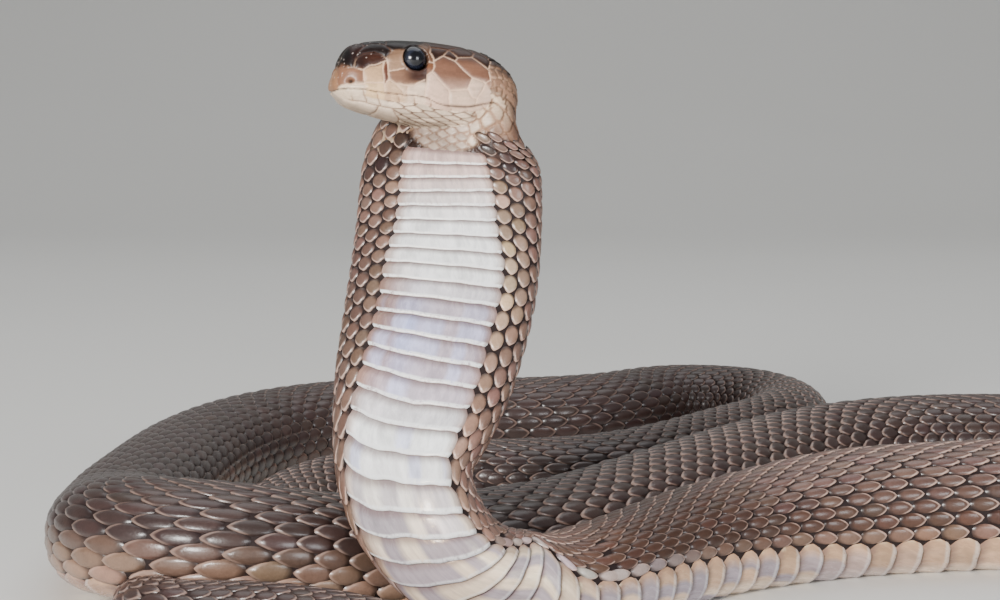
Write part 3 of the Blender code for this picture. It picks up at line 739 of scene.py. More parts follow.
def make_scales():
    """Back scales, row by row, as domed ovals that lie back over one another.

    A square grid is bent to a disc (x sqrt(1 - y^2 / 2), y sqrt(1 - x^2 / 2)), stretched to the
    scale's length and width and laid on the skin by arc length and share round the back. Height
    is a tilt that lifts the rear, a dome (1 - r^2), and an outermost ring sunk below the skin.
    """
    rng = np.random.default_rng(7)
    steps = np.array([-1, -0.84, -0.5, 0, 0.5, 0.84, 1.0])
    gx, gy = np.meshgrid(steps, steps, indexing="ij")
    x, y = gx * np.sqrt(1 - gy ** 2 / 2), gy * np.sqrt(1 - gx ** 2 / 2)
    ring = np.maximum(np.abs(gx), np.abs(gy)) > 0.99
    r2 = x ** 2 + y ** 2
    s, share, length, gap = [], [], [], []
    step = np.append(np.diff(EDGES), LAST_STEP)
    for at, long in zip(EDGES, step):
        rows = [n for start, n in BACK_ROWS if start <= at][-1]
        half = rows // 2
        size = 1 + 0.5 * (np.arange(half + 1) / half) ** 1.6
        reach = np.concatenate([[0], np.cumsum((size[1:] + size[:-1]) / 2)])
        total = reach[-1] + 0.42 * size[-1]
        index = np.arange(-half, half + 1)
        where = np.sign(index) * reach[np.abs(index)] / total
        shift = np.where(index % 2 == 1, 0.5, 0.0) * long
        s.append(at + shift)
        share.append(where)
        length.append(np.full(rows, long))
        gap.append(size[np.abs(index)] / total)
    s, share, length, gap = (np.concatenate(v) for v in (s, share, length, gap))
    keep = (s < BODY_END - 1.5)
    s, share, length, gap = s[keep], share[keep], length[keep], gap[keep]
    count = len(s)
    s = s + rng.normal(0, 0.035, count) * length
    around = back_length(s, share)
    width = gap * around
    spread = np.maximum(smooth(72, 50, s), 0.8 * span(s, 130, 170, 240, 300))
    half_long = length * (0.53 - 0.035 * spread) * rng.normal(1, 0.02, count)
    half_wide = width * (0.74 - 0.17 * spread) * rng.normal(1, 0.02, count)
    rear = np.maximum(x, 0)
    leaf = x * (1 + 0.20 * (x > 0) * (1 - np.abs(y)) ** 1.2)
    S = s[:, None, None] + half_long[:, None, None] * leaf
    taper = 1 - 0.22 * rear ** 2
    F = share[:, None, None] + (half_wide / around)[:, None, None] * (y * taper)
    thick = np.minimum(length / 5.5, 1)[:, None, None]
    H = SKIN_DEPTH + thick * (0.10 + 0.16 * x + 0.44 * (1 - r2))
    H = np.where(ring, SKIN_DEPTH - 0.35 * thick, H)
    S = np.clip(S + skew(S, F * np.abs(F)), 0.5, BODY_END - 0.4)
    angle = back_angle(S, F)
    points = body_point(S, angle, H)
    tone = body_tone(s, share) * np.exp(rng.normal(0, 0.10, (count, 1)))
    tone = tone * np.exp(rng.normal(0, 0.03, (count, 3)))
    rim = 0.22 + 0.30 * smooth(320, 200, s) - 0.1 * smooth(60, 40, s)
    # painted highlight: paler rims on the front coil's side, where its scales catch the light
    rim = rim + 0.18 * span(s, 150, 170, 205, 240)
    tone = np.concatenate([tone, rim[:, None]], -1)
    tone = np.broadcast_to(tone[:, None, :], (count, x.size, 4))
    local = np.stack([0.5 + 0.5 * x, 0.5 + 0.5 * y], -1).reshape(1, x.size, 2)
    local = np.broadcast_to(local, (count, x.size, 2))
    bake = patches(s, back_angle(s, share) / math.pi, x, y)
    for name, low, high in SCALE_PIECES:
        pick = (s >= low) & (s < high)
        faces = grid_faces(len(steps), len(steps), int(pick.sum()))
        obj = mesh_object(name, points[pick], faces, [SCALE_HORN], tone[pick],
                          [("Scale", local[pick]), ("OFBake", bake[pick])])
        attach(obj, "root")


def make_plates():
    """Belly plates, each a curved sheet across the belly whose rear edge stands free.

    Across, the angle runs between the plate's two rounded ends; along, the height rises from
    below the skin at the front to the free edge, which turns down again.
    """
    rng = np.random.default_rng(11)
    u = np.array([0.0, 0.16, 0.4, 0.66, 0.90, 0.975, 1.0])
    v = np.linspace(-1, 1, 29)
    level = np.array([-0.75, -0.12, 0.04, 0.17, 0.32, 0.33, 0.02])
    uu, vv = np.meshgrid(u, v, indexing="ij")
    start, length = EDGES, np.append(np.diff(EDGES), LAST_STEP)
    keep = (start + length < BODY_END - 0.5) & (start > PLATES_FROM)
    start, length = start[keep], length[keep]
    count = len(start)
    thick = np.minimum(girth(start)[1] / 7, 1)[:, None, None]
    along = start[:, None, None] + length[:, None, None] * (-0.22 + 1.22 * uu - 0.05 * vv ** 2)
    along = along + skew(along, 0 * along - vv)
    phase = rng.random((count, 1, 1)) * 6.3
    wave = np.sin(8.0 * vv + phase) + 0.6 * np.sin(17.0 * vv + 2.3 * phase)
    along = along + 0.018 * length[:, None, None] * wave * uu
    rounded = 1 - 0.16 * np.abs(2 * np.clip(uu, 0.18, 1) - 1.1) ** 2.5
    reach = np.radians(profile(SCUTE_REACH, along) + 1.5)
    angle = math.pi + vv * rounded * reach - np.radians(profile(SCUTE_SHIFT, along))
    side = smooth(1.0, 0.93, np.abs(vv))
    height = SKIN_DEPTH + 0.2 + thick * (level[None, :, None] * (0.35 + 0.65 * side)
                                         - 0.5 * (1 - side))
    points = body_point(along, angle, height, 0.25 * (1 - uu))
    tone = plate_tone(start[:, None, None] + 0 * along, vv + 0 * along, rng, count)
    local = np.broadcast_to(np.stack([uu, 0.5 + 0.5 * vv], -1), (count,) + uu.shape + (2,))
    bake = patches(start, np.ones(count), 2 * uu - 1, vv)
    faces = grid_faces(len(u), len(v), count)
    obj = mesh_object("belly_plates", points, faces, [PLATE_HORN], tone,
                      [("Scale", local), ("OFBake", bake)])
    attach(obj, "root")


FIELDS = 9


def plate_tone(s, v, rng, count):
    """Colour of the belly plates: grey-mauve at the throat, pearl on the hood, cream behind.

    Each plate is crossed by faint fields of its own tones; below the hood some are grey, and on
    the hood's far side they turn mauve-brown. The ends next to the scales are brown, and a painted
    blue sheen lies across the hood's plates.
    """
    pearl, mauve = colour(232, 227, 231), colour(192, 174, 170)
    cream, brown, grey = colour(216, 200, 183), colour(154, 127, 112), colour(150, 143, 154)
    tone = blend(mauve, pearl, smooth(13, 26, s))
    tone = blend(tone, colour(170, 158, 168), 0.9 * span(s, 32, 42, 54, 64))
    tone = blend(tone, cream, smooth(66, 84, s))
    far = smooth(0.15, 0.75, v) * span(s, 28, 38, 54, 62)
    tone = blend(tone, colour(150, 126, 122), 0.8 * far)
    # painted sheen: a blue-lilac shimmer across the middle of the hood's plates
    blue_sheen = np.exp(-((v - 0.28) / 0.16) ** 2 - ((s - 46) / 6) ** 2)
    tone = blend(tone, colour(168, 180, 222), 0.7 * blue_sheen)
    ends = smooth(0.64, 0.93, np.abs(v + 0.03))
    tone = blend(tone, brown, ends * (0.74 + 0.1 * smooth(60, 100, s)))
    wide_ends = 0.88 * smooth(0.32, 0.6, np.abs(v)) * smooth(96, 125, s)
    tone = blend(tone, colour(184, 156, 134), wide_ends)
    cell = np.clip(((v + 1) * FIELDS / 2).astype(int), 0, FIELDS - 1)
    drawn = np.broadcast_to(rng.random((count, 1, FIELDS)), (count, v.shape[1], FIELDS))
    field = np.take_along_axis(drawn, cell, axis=2)
    tone = tone * (0.84 + 0.28 * field)[..., None]
    blue = (field < 0.3) * span(s, 36, 44, 72, 82) * smooth(0.9, 0.7, np.abs(v))
    tone = blend(tone, colour(190, 192, 216), 0.6 * blue)
    grey_here = (field > 0.5) * smooth(66, 78, s) * smooth(0.92, 0.8, np.abs(v))
    tone = blend(tone, grey, 0.85 * grey_here * smooth(200, 150, s))
    tone = tone * np.exp(rng.normal(0, 0.05, (count, 1, 1, 1)))
    rim = 0.9 - 0.62 * smooth(70, 92, s)
    return np.concatenate([np.minimum(tone, 0.95), rim[..., None]], -1)


def head_axes():
    """Directions of the head: ahead, left and up, turned, pitched and rolled from level."""
    turn, pitch, roll = (math.radians(a) for a in (HEAD_TURN, HEAD_PITCH, HEAD_ROLL))
    ahead = np.array([-math.cos(turn) * math.cos(pitch), -math.sin(turn) * math.cos(pitch),
                      math.sin(pitch)])
    level_left = unit(np.cross([0, 0, 1.0], ahead))
    level_up = np.cross(ahead, level_left)
    left = level_left * math.cos(roll) + level_up * math.sin(roll)
    return np.stack([-ahead, left, np.cross(ahead, left)])


HEAD_AXES = head_axes()


def head_point(local):
    """From the head's own frame (t back from the snout, y left, z up) to the model's."""
    return np.array(SNOUT_TIP) + local @ HEAD_AXES


def head_local(points):
    return (points - np.array(SNOUT_TIP)) @ HEAD_AXES.T


def bump_at(t, z, at, reach):
    return np.exp(-((t - at[0]) / reach[0]) ** 2 - ((z - at[1]) / reach[1]) ** 2)


def head_sizes(t):
    """Top, bottom, half width and line of the mouth at stations of the head."""
    return (profile(p, t) for p in (HEAD_TOP, HEAD_BOTTOM, HEAD_HALF_WIDTH, MOUTH_LINE))


def head_surface(t, angle):
    """Superellipse cross-sections of the head round the line of the mouth, in its own frame."""
    top, bottom, width, mouth = head_sizes(t)
    sine, cosine = np.sin(angle), np.cos(angle)
    power = 2 / np.where(sine >= 0, UPPER_ROUND, LOWER_ROUND)
    y = bent(cosine, power) * width
    z = mouth + bent(sine, power) * np.where(sine >= 0, top - mouth, mouth - bottom)
    swell = LIP_SWELL * bell(z - mouth, LIP_HEIGHT) * (t < 28)
    swell = swell + BROW_SWELL * bump_at(t, z, BROW_AT, BROW_REACH)
    swell = swell - CHEEK_DENT * bump_at(t, z, CHEEK_AT, CHEEK_REACH)
    return np.stack([t, y + np.sign(np.round(y, 6)) * swell, z], -1)


def closed_tube(points):
    """A grid of rings closed at both ends by a point, as points and triangles and quads."""
    rows, columns = points.shape[:2]
    faces = [tuple(f) for f in grid_faces(rows, columns, closed=True)]
    flat = np.vstack([points.reshape(-1, 3), points[0].mean(0), points[-1].mean(0)])
    first, last = rows * columns, rows * columns + 1
    for j in range(columns):
        k = (j + 1) % columns
        faces.append((first, k, j))
        faces.append((last, (rows - 1) * columns + j, (rows - 1) * columns + k))
    return flat, faces


def temporary(name, points, faces):
    mesh = bpy.data.meshes.new(name)
    mesh.from_pydata((points * MM).tolist(), [], faces)
    obj = bpy.data.objects.new(name, mesh)
    bpy.context.scene.collection.objects.link(obj)
    return obj


def fused_head(voxel):
    """Head and the top of the neck as one surface: two closed tubes remeshed as one."""
    u = np.linspace(0, 1, 90)
    t = HEAD_LENGTH * (0.5 - 0.5 * np.cos(math.pi * u)) * 0.999 + 0.01
    angle = np.linspace(0, 2 * math.pi, 120, endpoint=False)
    head = head_point(head_surface(t[:, None] + 0 * angle, angle[None, :] + 0 * t[:, None]))
    s = np.linspace(0, 16.5, 40)
    neck = body_point(s[:, None], angle[None, :], SKIN_DEPTH - 0.7 * smooth(13.5, 16, s)[:, None])
    pieces = [temporary(name, *closed_tube(rings))
              for name, rings in (("head_form", head), ("neck_form", neck))]
    bpy.ops.object.select_all(action="DESELECT")
    for piece in pieces:
        piece.select_set(True)
    bpy.context.view_layer.objects.active = pieces[0]
    bpy.ops.object.join()
    obj = pieces[0]
    remesh = obj.modifiers.new("one_skin", "REMESH")
    remesh.mode = "VOXEL"
    remesh.voxel_size = voxel * MM
    depsgraph = bpy.context.evaluated_depsgraph_get()
    mesh = bpy.data.meshes.new_from_object(obj.evaluated_get(depsgraph))
    bpy.data.objects.remove(obj)
    points = np.empty(len(mesh.vertices) * 3, np.float32)
    mesh.vertices.foreach_get("co", points)
    corners = np.empty(len(mesh.loops), np.int32)
    mesh.loops.foreach_get("vertex_index", corners)
    bpy.data.meshes.remove(mesh)
    return points.reshape(-1, 3).astype(float) / MM, corners.reshape(-1, 4)


def relax(points, faces, weight, rounds):
    """Move each point towards the mean of its neighbours, by its weight, a number of times."""
    edges = np.vstack([faces[:, [0, 1]], faces[:, [1, 2]], faces[:, [2, 3]], faces[:, [3, 0]]])
    count = np.bincount(edges[:, 0], minlength=len(points))
    for _ in range(rounds):
        mean = np.column_stack([np.bincount(edges[:, 0], points[edges[:, 1], k], len(points))
                                for k in range(3)]) / count[:, None]
        points = points + (mean - points) * weight[:, None]
    return points


def normals_of(points, faces):
    across = np.cross(points[faces[:, 2]] - points[faces[:, 0]],
                      points[faces[:, 3]] - points[faces[:, 1]])
    total = np.zeros_like(points)
    for k in range(4):
        total += np.column_stack([np.bincount(faces[:, k], across[:, c], len(points))
                                  for c in range(3)])
    return unit(total + 1e-12)


def head_shares(local):
    """Which points lie above the mouth, their section's power, and their shares across and up."""
    t, y, z = local.T
    top, bottom, width, mouth = head_sizes(t)
    above = z >= mouth
    rise = np.abs(z - mouth) / np.where(above, top - mouth, mouth - bottom)
    return above, np.where(above, UPPER_ROUND, LOWER_ROUND), np.abs(y) / width, rise


def head_angle(local):
    """Angle on the head's cross-section, in degrees, of points in the head's own frame."""
    above, power, across, rise = head_shares(local)
    angle = np.arctan2(rise ** (power / 2), across ** (power / 2))
    return np.degrees(angle) * np.where(above, 1, -1)


def out_of_head(local):
    """How far outside the head's cross-section points lie: 1 on it, more beyond it."""
    _, power, across, rise = head_shares(local)
    return out_of(across, rise, power)


def fine_line(line, step):
    """Points at even small steps along a polyline of station and angle, with rounded corners."""
    line = np.array(line, float)
    length = np.hypot(np.diff(line[:, 0]), np.diff(line[:, 1]) * 0.14)
    reach = np.concatenate([[0], np.cumsum(length)])
    at = np.linspace(0, reach[-1], max(int(reach[-1] / step), 2) + 1)
    return read_rows(at, reach, line)


def all_seams():
    """Every seam of one side, with the slanting ones between the lower labials."""
    seams = list(SEAMS.values()) + list(LOWER_SEAMS.values())
    below = np.array(LOWER_SEAMS["below_labials"])
    for t in LOWER_LABIALS:
        low = np.interp(t + 1.1, below[:, 0], below[:, 1])
        seams.append([(t, 0), (t + 0.25, low * 0.4), (t + 1.1, low)])
    return seams


# Grids of the shields' map, and of the table of lengths down the jaw
CELL = 0.1
GRID_T, GRID_A = np.arange(0, HEAD_LENGTH + 0.01, CELL), np.arange(-90, 90.01, 1.0)
JAW_STEP, JAW_TURN = 0.5, 2.0


def shield_map():
    """Paint and kind on a grid of station and angle, grown from each shield's spot to its seams.

    Every spot spreads a cell at a time over cells that no seam covers; then the seams' own cells
    are filled in the same way, and the paint is blurred a little.
    """
    wall = np.zeros((len(GRID_T), len(GRID_A)), bool)
    for line in all_seams() + [[(0, 0), (27, 0)]]:
        fine = fine_line(line, 0.04)
        i = np.clip(np.round(fine[:, 0] / CELL).astype(int), 0, len(GRID_T) - 1)
        j = np.clip(np.round(fine[:, 1] + 90).astype(int), 0, len(GRID_A) - 1)
        wall[i, j] = True
        wall[np.clip(i + 1, 0, len(GRID_T) - 1), j] = True
    owner = np.full(wall.shape, -1)
    for k, (t, a, _) in enumerate(SHIELDS):
        owner[int(round(t / CELL)), int(round(a + 90))] = k
    for blocked in (wall, np.zeros_like(wall)):
        for _ in range(260 if blocked is wall else 40):
            for axis, way in ((0, 1), (0, -1), (1, 1), (1, -1)):
                moved = np.roll(owner, way, axis)
                edge = [slice(None)] * 2
                edge[axis] = 0 if way == 1 else -1
                moved[tuple(edge)] = -1
                free = (owner < 0) & (moved >= 0) & ~blocked
                owner[free] = moved[free]
    small = np.array([rgb is None for _, _, rgb in SHIELDS])
    tones = np.array([colour(*(rgb or (200, 184, 168))) for _, _, rgb in SHIELDS])
    tone, kind = tones[owner], small[owner].astype(float)
    for _ in range(2):
        for axis in (0, 1):
            tone = (np.roll(tone, 1, axis) + 2 * tone + np.roll(tone, -1, axis)) / 4
    return tone, kind


def read_kind(kind, t, a):
    """Kind of the map's nearest cell: 1 where small scales lie, 0 on shields."""
    i, j = np.clip(t / CELL, 0, len(GRID_T) - 1.001), np.clip(a + 90, 0, len(GRID_A) - 1.001)
    return kind[np.round(i).astype(int), np.round(j).astype(int)]


CELL_PULL = 0.62        # rows of small scales stand this far apart, in lengths of a scale


def lattice(p, q):
    """Nearest cell of a staggered lattice of unit cells: edge distance, place along, number."""
    near = np.full((2, len(p)), 9.0)
    along, number = np.zeros(len(p)), np.zeros(len(p))
    for dj in (-2, -1, 0, 1, 2):
        row = np.round(q) + dj
        shift = 0.5 * (row % 2)
        for di in (-1, 0, 1):
            column = np.round(p - shift) + di
            d = np.hypot(p - shift - column, CELL_PULL * (q - row))
            closer = d < near[0]
            near[1] = np.where(closer, near[0], np.minimum(near[1], d))
            near[0] = np.where(closer, d, near[0])
            along = np.where(closer, p - shift - column, along)
            number = np.where(closer, column * 7.13 + row * 3.71, number)
    return (near[1] - near[0]) / 2, along, number


def hashed(number):
    return np.modf(np.abs(np.sin(number * 12.9898) * 43758.5453))[0]


AXIS_NECK = 20.9        # length of the joint axis where the body's route is at 8 mm
NEAR_HEAD = 26          # arc length of the route that is searched for points near the head
CHUNK = 8000            # points that are searched at a time


def joint_axis():
    """Centre line that runs through the head and on down the neck, with its up directions."""
    head_t = np.array([8.0, 13.0, 18.0, 22.5])
    head = head_point(np.column_stack([head_t, 0 * head_t, [3.0, 3.0, 3.0, 2.6]]))
    neck_s = np.array([8.0, 12.0, 16.0, 20.0, 25.0])
    route = read_rows(neck_s, ROUTE_S, ROUTE)
    points = np.vstack([head, route[:, :3]])
    ups = np.vstack([np.tile(HEAD_AXES[2], (len(head), 1)), route[:, 6:]])
    reach = walked(points)
    at = np.arange(0, reach[-1], 0.25)
    axis = spline(reach, points, at)
    ahead = unit(np.gradient(axis, axis=0))
    return at, axis, ahead, upright(read_rows(at, reach, ups), ahead)


def nearest_of(points, places):
    """Number of the nearest place to each point."""
    parts = [points[k:k + CHUNK] for k in range(0, len(points), CHUNK)]
    return np.concatenate([np.argmin(((part[:, None, :] - places) ** 2).sum(-1), 1)
                           for part in parts])


def around_axis(points):
    """Place along the joint axis and angle round it, 0 on the nape, for points near it."""
    at, axis, ahead, up = joint_axis()
    near = 2 * nearest_of(points, axis[::2])
    offset = points - axis[near]
    side = np.cross(up[near], ahead[near])
    fine = (offset * ahead[near]).sum(1)
    return at[near] + fine, np.arctan2((offset * side).sum(1), (offset * up[near]).sum(1))


def on_tube(points):
    """Arc length along the body of points near its top, and how far out of it they lie, 1 on it."""
    near = ROUTE_S < NEAR_HEAD
    k = nearest_of(points, ROUTE[near, :3])
    s, route = ROUTE_S[k], ROUTE[k]
    offset = points - route[:, :3]
    y, z = (offset * route[:, 3:6]).sum(1), (offset * route[:, 6:]).sum(1)
    half_width, half_height = girth(s)
    power = np.where(z >= 0, BACK_ROUND, BELLY_ROUND)
    return s, out_of(np.abs(y) / half_width, np.abs(z) / half_height, power)


def down_table():
    """Arc length from the line of the mouth down the jaw, by station and angle."""
    t = np.arange(0, HEAD_LENGTH + JAW_STEP, JAW_STEP)
    a = np.radians(np.arange(0, 90.01, JAW_TURN))
    ring = head_surface(np.minimum(t, HEAD_LENGTH - 0.1)[:, None] + 0 * a,
                        -a[None, :] + 0 * t[:, None])
    step = np.linalg.norm(np.diff(ring, axis=1), axis=-1)
    return np.hstack([np.zeros((len(t), 1)), np.cumsum(step, axis=1)])


def seam_distance(local):
    """Distance of every point to the nearest seam, and the place on that seam."""
    lines = [fine_line(line, 0.05) for line in all_seams()]
    flat = np.vstack(lines)
    own = head_surface(flat[:, 0], np.radians(flat[:, 1]))
    own = np.vstack([own, own * [1, -1, 1]])
    tree = mathutils.kdtree.KDTree(len(own))
    for k, place in enumerate(own):
        tree.insert(place, k)
    tree.balance()
    found = [tree.find(place) for place in local]
    nearest = np.array([hit[0] for hit in found])
    return np.array([hit[2] for hit in found]), nearest


def head_form():
    """Points, faces and normals of head and throat, and each point's distance to the seams.

    The fused surface is relaxed under the jaw and over the nape, and points next to a seam are
    moved onto it along the surface, so that its groove is sharp.
    """
    points, faces = fused_head(HEAD_VOXEL)
    t, _, z = head_local(points).T
    chin_tip = 0.9 * smooth(0.6, -0.8, z - profile(MOUTH_LINE, t)) * smooth(3.5, 0, t)
    points = points + chin_tip[:, None] * HEAD_AXES[0]
    soft = 0.9 * smooth(15, 22, t) * smooth(0.5, -4.5, z) + smooth(25, 29, t)
    points = relax(points, faces, 0.5 * np.clip(soft + 0.12 + smooth(1.6, 0.3, t), 0, 1), 60)
    points = relax(points, faces, 0.5 * smooth(26.5, 29.5, t), 340)
    normal = normals_of(points, faces)
    local = head_local(points)
    gap, nearest = seam_distance(local)
    move = (nearest - local) * smooth(0.62, 0.40, gap / HEAD_VOXEL)[:, None]
    normal_local = normal @ HEAD_AXES.T
    move -= (move * normal_local).sum(1, keepdims=True) * normal_local
    points = points + move @ HEAD_AXES
    return points, faces, normal, np.linalg.norm(head_local(points) - nearest, axis=1)


def small_scales(t, a, along, turn, chin):
    """Each point's own small scale: distance to its edge, place along it, and its number.

    Under the chin they are laid out by station and by the way down from the lower labials, and
    everywhere else by the place along the joint axis and the angle round it.
    """
    table = down_table()
    below = np.array(LOWER_SEAMS["below_labials"])
    labials_end = -np.interp(t, below[:, 0], below[:, 1])
    down, level = (read_grid(table, t / JAW_STEP, np.clip(angle, 0, 90) / JAW_TURN)
                   for angle in (-a, labials_end))
    edge_c, tip_c, number_c = lattice(t / 3.3, (down - level - 0.15 * t) / 0.95 + 0.5)
    throat = np.degrees(np.abs(turn)) > 142
    edge_n, tip_n, number_n = lattice(along / np.where(throat, 1.7, 2.7),
                                      turn / math.pi * np.where(throat, 12, 21))
    edge = np.where(chin, edge_c * 2.4, edge_n * np.where(throat, 1.8, 2.0))
    return edge, np.where(chin, tip_c, tip_n), np.where(chin, number_c, number_n + 0.3)


def small_scale_tone(edge, number, chin, along, turn, neck_s, out_of_neck):
    """Paint of the small scales: dark on the nape, paler down the sides, cream under the chin.

    Those next to the neck take on its brown, and where the body's own scales lie over the skin
    it is as dark as between them. Painted shade greys the throat under the chin and darkens the
    grooves between the chin's scales.
    """
    side = np.degrees(np.abs(turn))
    nape = blend(colour(80, 62, 54), colour(150, 125, 108), smooth(56, 84, side))
    nape = blend(nape, colour(200, 182, 162), smooth(96, 118, side))
    near_neck = smooth(1.25, 1.1, out_of_neck) * smooth(2.5, 5, neck_s)
    near_neck = np.maximum(near_neck, smooth(AXIS_NECK - 4, AXIS_NECK + 1, along))
    limit = np.where(turn > 0, 156, 138)
    nape = blend(nape, colour(130, 104, 92), 0.85 * near_neck * smooth(limit, limit - 16, side))
    # painted shade: greyer on the throat under the chin
    throat = smooth(AXIS_NECK - 6, AXIS_NECK, along) * smooth(130, 150, side)
    nape = blend(nape, colour(178, 164, 156), 0.7 * throat)
    scales = np.where(chin[:, None], colour(202, 186, 169), nape)
    scales = scales * (0.72 + 0.5 * hashed(number))[:, None]
    seam = blend(colour(56, 41, 35), colour(174, 148, 127),
                 smooth(54, 74, side) * smooth(AXIS_NECK - 2, AXIS_NECK - 6, along))
    seam = blend(seam, colour(150, 124, 105), smooth(92, 116, side))
    # painted shade: darker grooves between the scales under the chin
    seam = blend(seam, colour(122, 97, 82), chin)
    scales = blend(scales, seam, 0.85 * smooth(0.26, 0.05, edge))
    ends = np.interp(neck_s, [6, 10, 12, 20], [128, 134, 152, 156]) + np.where(turn > 0, 3, 0)
    on_neck = smooth(1.0, 0.955, out_of_neck) * smooth(6.2, 7.4, neck_s)
    return blend(scales, colour(78, 60, 53), on_neck * smooth(ends + 6, ends - 6, side))


def head_marks(tone, t, a, small):
    """Dark crown, painted shade under the chin, and marks under, before and behind the eye and on
    the snout.
    """
    crown = smooth(38, 66, a) * smooth(1.0, 2.5, t)
    tone = tone * (1 - 0.72 * crown)[:, None]
    # painted shade: darker towards the underside of the jaw
    under = smooth(-32, -78, a) * smooth(24, 18, t)
    tone = tone * (1 - 0.42 * under)[:, None]
    tone = blend(tone, colour(66, 43, 36), 0.9 * span(t, 10.2, 13.0, 14.9, 15.3)
                 * span(a, 6, 11, 28, 36))
    tone = blend(tone, colour(112, 88, 72), 0.6 * span(t, 8.6, 9.2, 10.6, 12.0)
                 * span(a, 30, 40, 42, 48))
    tone = blend(tone, colour(60, 40, 36), 0.85 * span(t, 2.4, 3.0, 3.8, 6.2)
                 * smooth(20, 26, a))
    tone = blend(tone, colour(78, 55, 45), 0.75 * smooth(30, 47, a) * smooth(15.5, 17.5, t)
                 * (1 - small))
    tone = blend(tone, colour(184, 160, 145), 0.5 * smooth(22, 9, a) * smooth(16.5, 19, t)
                 * (1 - small))
    streak = hashed(np.floor(a * 0.7) + 31 * np.floor(t * 0.45))
    return tone * (0.90 + 0.2 * streak)[:, None]


def seam_lines(tone, t, a, gap, small):
    """Lines along the seams, pale at the sides and darker above, and painted glints on the snout.
    """
    dark_snout = smooth(30, 42, a) * smooth(10.5, 8.5, t)
    seam = blend(colour(206, 182, 162), colour(120, 92, 76), smooth(36, 60, a))
    seam = blend(seam, colour(104, 78, 68), dark_snout)
    seam = blend(seam, colour(146, 120, 101), smooth(-2, -8, a))
    line = np.where(small, 0, smooth(0.18, 0.04, gap)) * (1 - 0.7 * smooth(4.6, 3.4, t) * (a > 20))
    tone = blend(tone, seam, (0.75 - 0.25 * dark_snout) * line)
    # painted glints: a few bright points scattered over the top of the snout
    glint = hashed(np.arange(len(t)) * 0.377) * (1 + 0.012 * smooth(0.5, 0.1, gap))
    glint = (glint > 0.989) * smooth(18, 26, a) * smooth(9.0, 5.0, t) * (1 - small)
    return blend(tone, colour(206, 196, 190), 0.6 * glint)


def openings(tone, height, t, y, z):
    """Line of the mouth, rim and bed of the eye, and nostril, cut in, with painted shade in each.
    """
    lip = np.abs(z - profile(MOUTH_LINE, t)) + 3 * smooth(27.0, 27.6, t)
    gape = 0.10 + 0.10 * smooth(17.5, 19, t) * smooth(25.5, 23, t)
    height = height - 0.34 * bell(lip, gape + 0.06)
    # painted shade in the line of the mouth
    tone = blend(tone, colour(44, 30, 26), 0.9 * bell(lip, gape))
    inner = 9 * smooth(3.0, 2.0, np.abs(y))
    eye = np.hypot(t - EYE_AT[0], z - EYE_AT[2]) + inner
    height = height + (0.20 * bell(eye - 2.32, 0.25) - 1.6 * smooth(2.14, 1.97, eye))
    # painted shade in the eye's bed, round the edge of the eye
    tone = blend(tone, colour(46, 34, 32), 0.8 * smooth(2.32, 2.16, eye))
    nostril = np.sqrt(((t - NOSTRIL_AT[0]) / 1.25) ** 2 + (z - NOSTRIL_AT[2]) ** 2) + inner
    pit = bell(nostril, 0.34)
    # painted shade in the nostril
    return blend(tone, colour(24, 16, 16), pit), height - 0.75 * pit


def head_skin():
    """Skin of the head and throat, with its shields, lips, nostrils and the rims of the eyes.

    One remeshed surface of head and neck is moved along its normals: down in a groove at every
    seam and at the line of the mouth, up in a low dome over each shield, in tilted overlapping
    cells over nape and throat, and round the eye and nostril by rings of the distance to them.
    """
    points, faces, normal, gap = head_form()
    local = head_local(points)
    t, y, z = local.T
    a = head_angle(local)
    neck_s, out_of_neck = on_tube(points)
    along, turn = around_axis(points)
    shield_tone, kind = shield_map()
    outside = smooth(-0.3, -0.9, z - profile(HEAD_BOTTOM, t)) + smooth(27.2, 27.6, t)
    beside = smooth(1.15, 1.05, out_of_neck) * smooth(3, 4, neck_s)
    outside = np.maximum(outside, beside * smooth(1.05, 1.11, out_of_head(local)))
    small = np.clip(read_kind(kind, t, a) + outside, 0, 1) > 0.5
    chin = small & (outside < 0.5) & (t < 23) & (a < -10)
    edge, tip, number = small_scales(t, a, along, turn, chin)
    dome = -0.06 - 0.17 * bell(gap, 0.13) + 0.10 * smooth(0.0, 0.8, gap)
    overlap = -0.10 + 0.22 * smooth(-0.6, 0.55, tip) - 0.22 * bell(edge, 0.13)
    height = np.where(small, overlap, dome)
    scale_tone = small_scale_tone(edge, number, chin, along, turn, neck_s, out_of_neck)
    tone = np.where(small[:, None], scale_tone, read_grid(shield_tone, t / CELL, a + 90))
    tone = seam_lines(head_marks(tone, t, a, small), t, a, gap, small)
    tone, height = openings(tone, height, t, y, z)
    return points + normal * height[:, None], faces, np.column_stack([tone, np.ones(len(tone))])


def make_skin():
    """One skin from the snout to the tip of the tail, in place of every solid of flesh."""
    points, faces, tone = head_skin()
    body_points, body_faces, body_tones = body_skin()
    faces = np.vstack([faces, body_faces + len(points)])
    points = np.vstack([points, body_points.reshape(-1, 3)])
    tone = np.vstack([tone, body_tones.reshape(-1, 4)])
    obj = mesh_object("skin", points, faces, [SKIN], tone)
    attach(obj, "root")
    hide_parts(*[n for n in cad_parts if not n.startswith("eye_")])


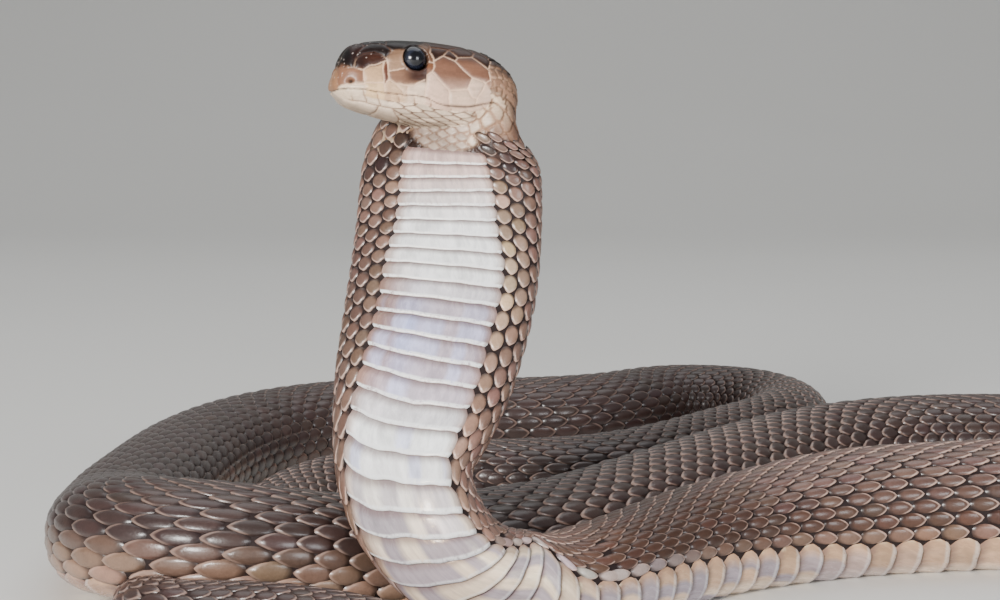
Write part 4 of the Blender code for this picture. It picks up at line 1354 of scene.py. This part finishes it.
def make_eyes():
    """Each eye: a sphere with its poles on the line of sight, coloured by the angle from it."""
    material = eye_material()
    rows, columns, pole = 40, 64, 0.004
    polar = np.linspace(pole, math.pi - pole, rows)[:, None]
    turn = np.linspace(0, 2 * math.pi, columns, endpoint=False)[None, :]
    faces = grid_faces(rows, columns, closed=True)[:, ::-1]
    ring = np.degrees(polar) + 0 * turn
    tone = blend(colour(54, 58, 70), colour(30, 26, 28), smooth(40, 62, ring))
    tone = blend(tone, colour(24, 26, 36), smooth(38, 30, ring))
    tone = np.concatenate([tone, np.ones(ring.shape + (1,))], -1)
    for name, sign in (("eye_left", 1), ("eye_right", -1)):
        way = np.stack([np.sin(polar) * np.cos(turn), sign * (np.cos(polar) + 0 * turn),
                        sign * np.sin(polar) * np.sin(turn)], -1)
        centre = np.array([EYE_AT[0], sign * EYE_AT[1], EYE_AT[2]])
        points = head_point(centre + EYE_RADIUS * way)
        obj = mesh_object(name + "_spectacle", points, faces, [material], tone)
        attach(obj, "root")
        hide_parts(name)


def make_stage():
    """Pale floor that runs back and curves up into a plain backdrop."""
    turn = np.linspace(0, math.pi / 2, 24)
    y = np.concatenate([[-3000, 900], 900 + 900 * np.sin(turn[1:]), [1800]])
    z = np.concatenate([[0, 0], 900 - 900 * np.cos(turn[1:]), [3500]])
    x = np.array([-4000.0, 4000.0])
    points = np.stack([x[None, :] + 0 * y[:, None], y[:, None] + 0 * x, z[:, None] + 0 * x], -1)
    floor = mesh_object("floor", points, grid_faces(len(y), 2), [floor_material()])


def area_light(name, place, aim, size, power, tint):
    data = bpy.data.lights.new(name, "AREA")
    data.shape = "RECTANGLE"
    data.size, data.size_y = size
    data.energy = power
    data.color = tint
    obj = bpy.data.objects.new(name, data)
    obj.location = place
    way = mathutils.Vector(aim) - mathutils.Vector(place)
    obj.rotation_euler = way.to_track_quat("-Z", "Y").to_euler()
    bpy.context.scene.collection.objects.link(obj)


def make_studio():
    make_stage()
    aim = (-0.01, 0.02, 0.04)
    area_light("key_softbox", (-0.30, -0.62, 0.26), aim, (0.16, 0.16), 8.0, (1.0, 0.985, 0.96))
    area_light("fill_softbox", (0.55, -0.62, 0.22), aim, (0.3, 0.3), 3.2, (0.95, 0.97, 1.0))
    area_light("top_softbox", (0.0, 0.35, 1.1), aim, (1.4, 1.0), 6.5, (0.96, 0.98, 1.0))
    world = bpy.data.worlds.new("studio")
    world.use_nodes = True
    world.node_tree.nodes["Background"].inputs["Color"].default_value = (0.80, 0.82, 0.84, 1)
    world.node_tree.nodes["Background"].inputs["Strength"].default_value = 0.36
    bpy.context.scene.world = world
    camera = bpy.data.cameras.new("camera")
    camera.lens, camera.sensor_width = 71.53, 36.0
    camera.clip_start, camera.clip_end = 0.01, 20
    obj = bpy.data.objects.new("camera", camera)
    obj.location = (-0.015, -0.337, 0.093)
    obj.rotation_euler = (math.radians(83.824), 0, 0)
    bpy.context.scene.collection.objects.link(obj)
    bpy.context.scene.camera = obj


make_studio()
make_skin()
make_scales()
make_plates()
make_eyes()
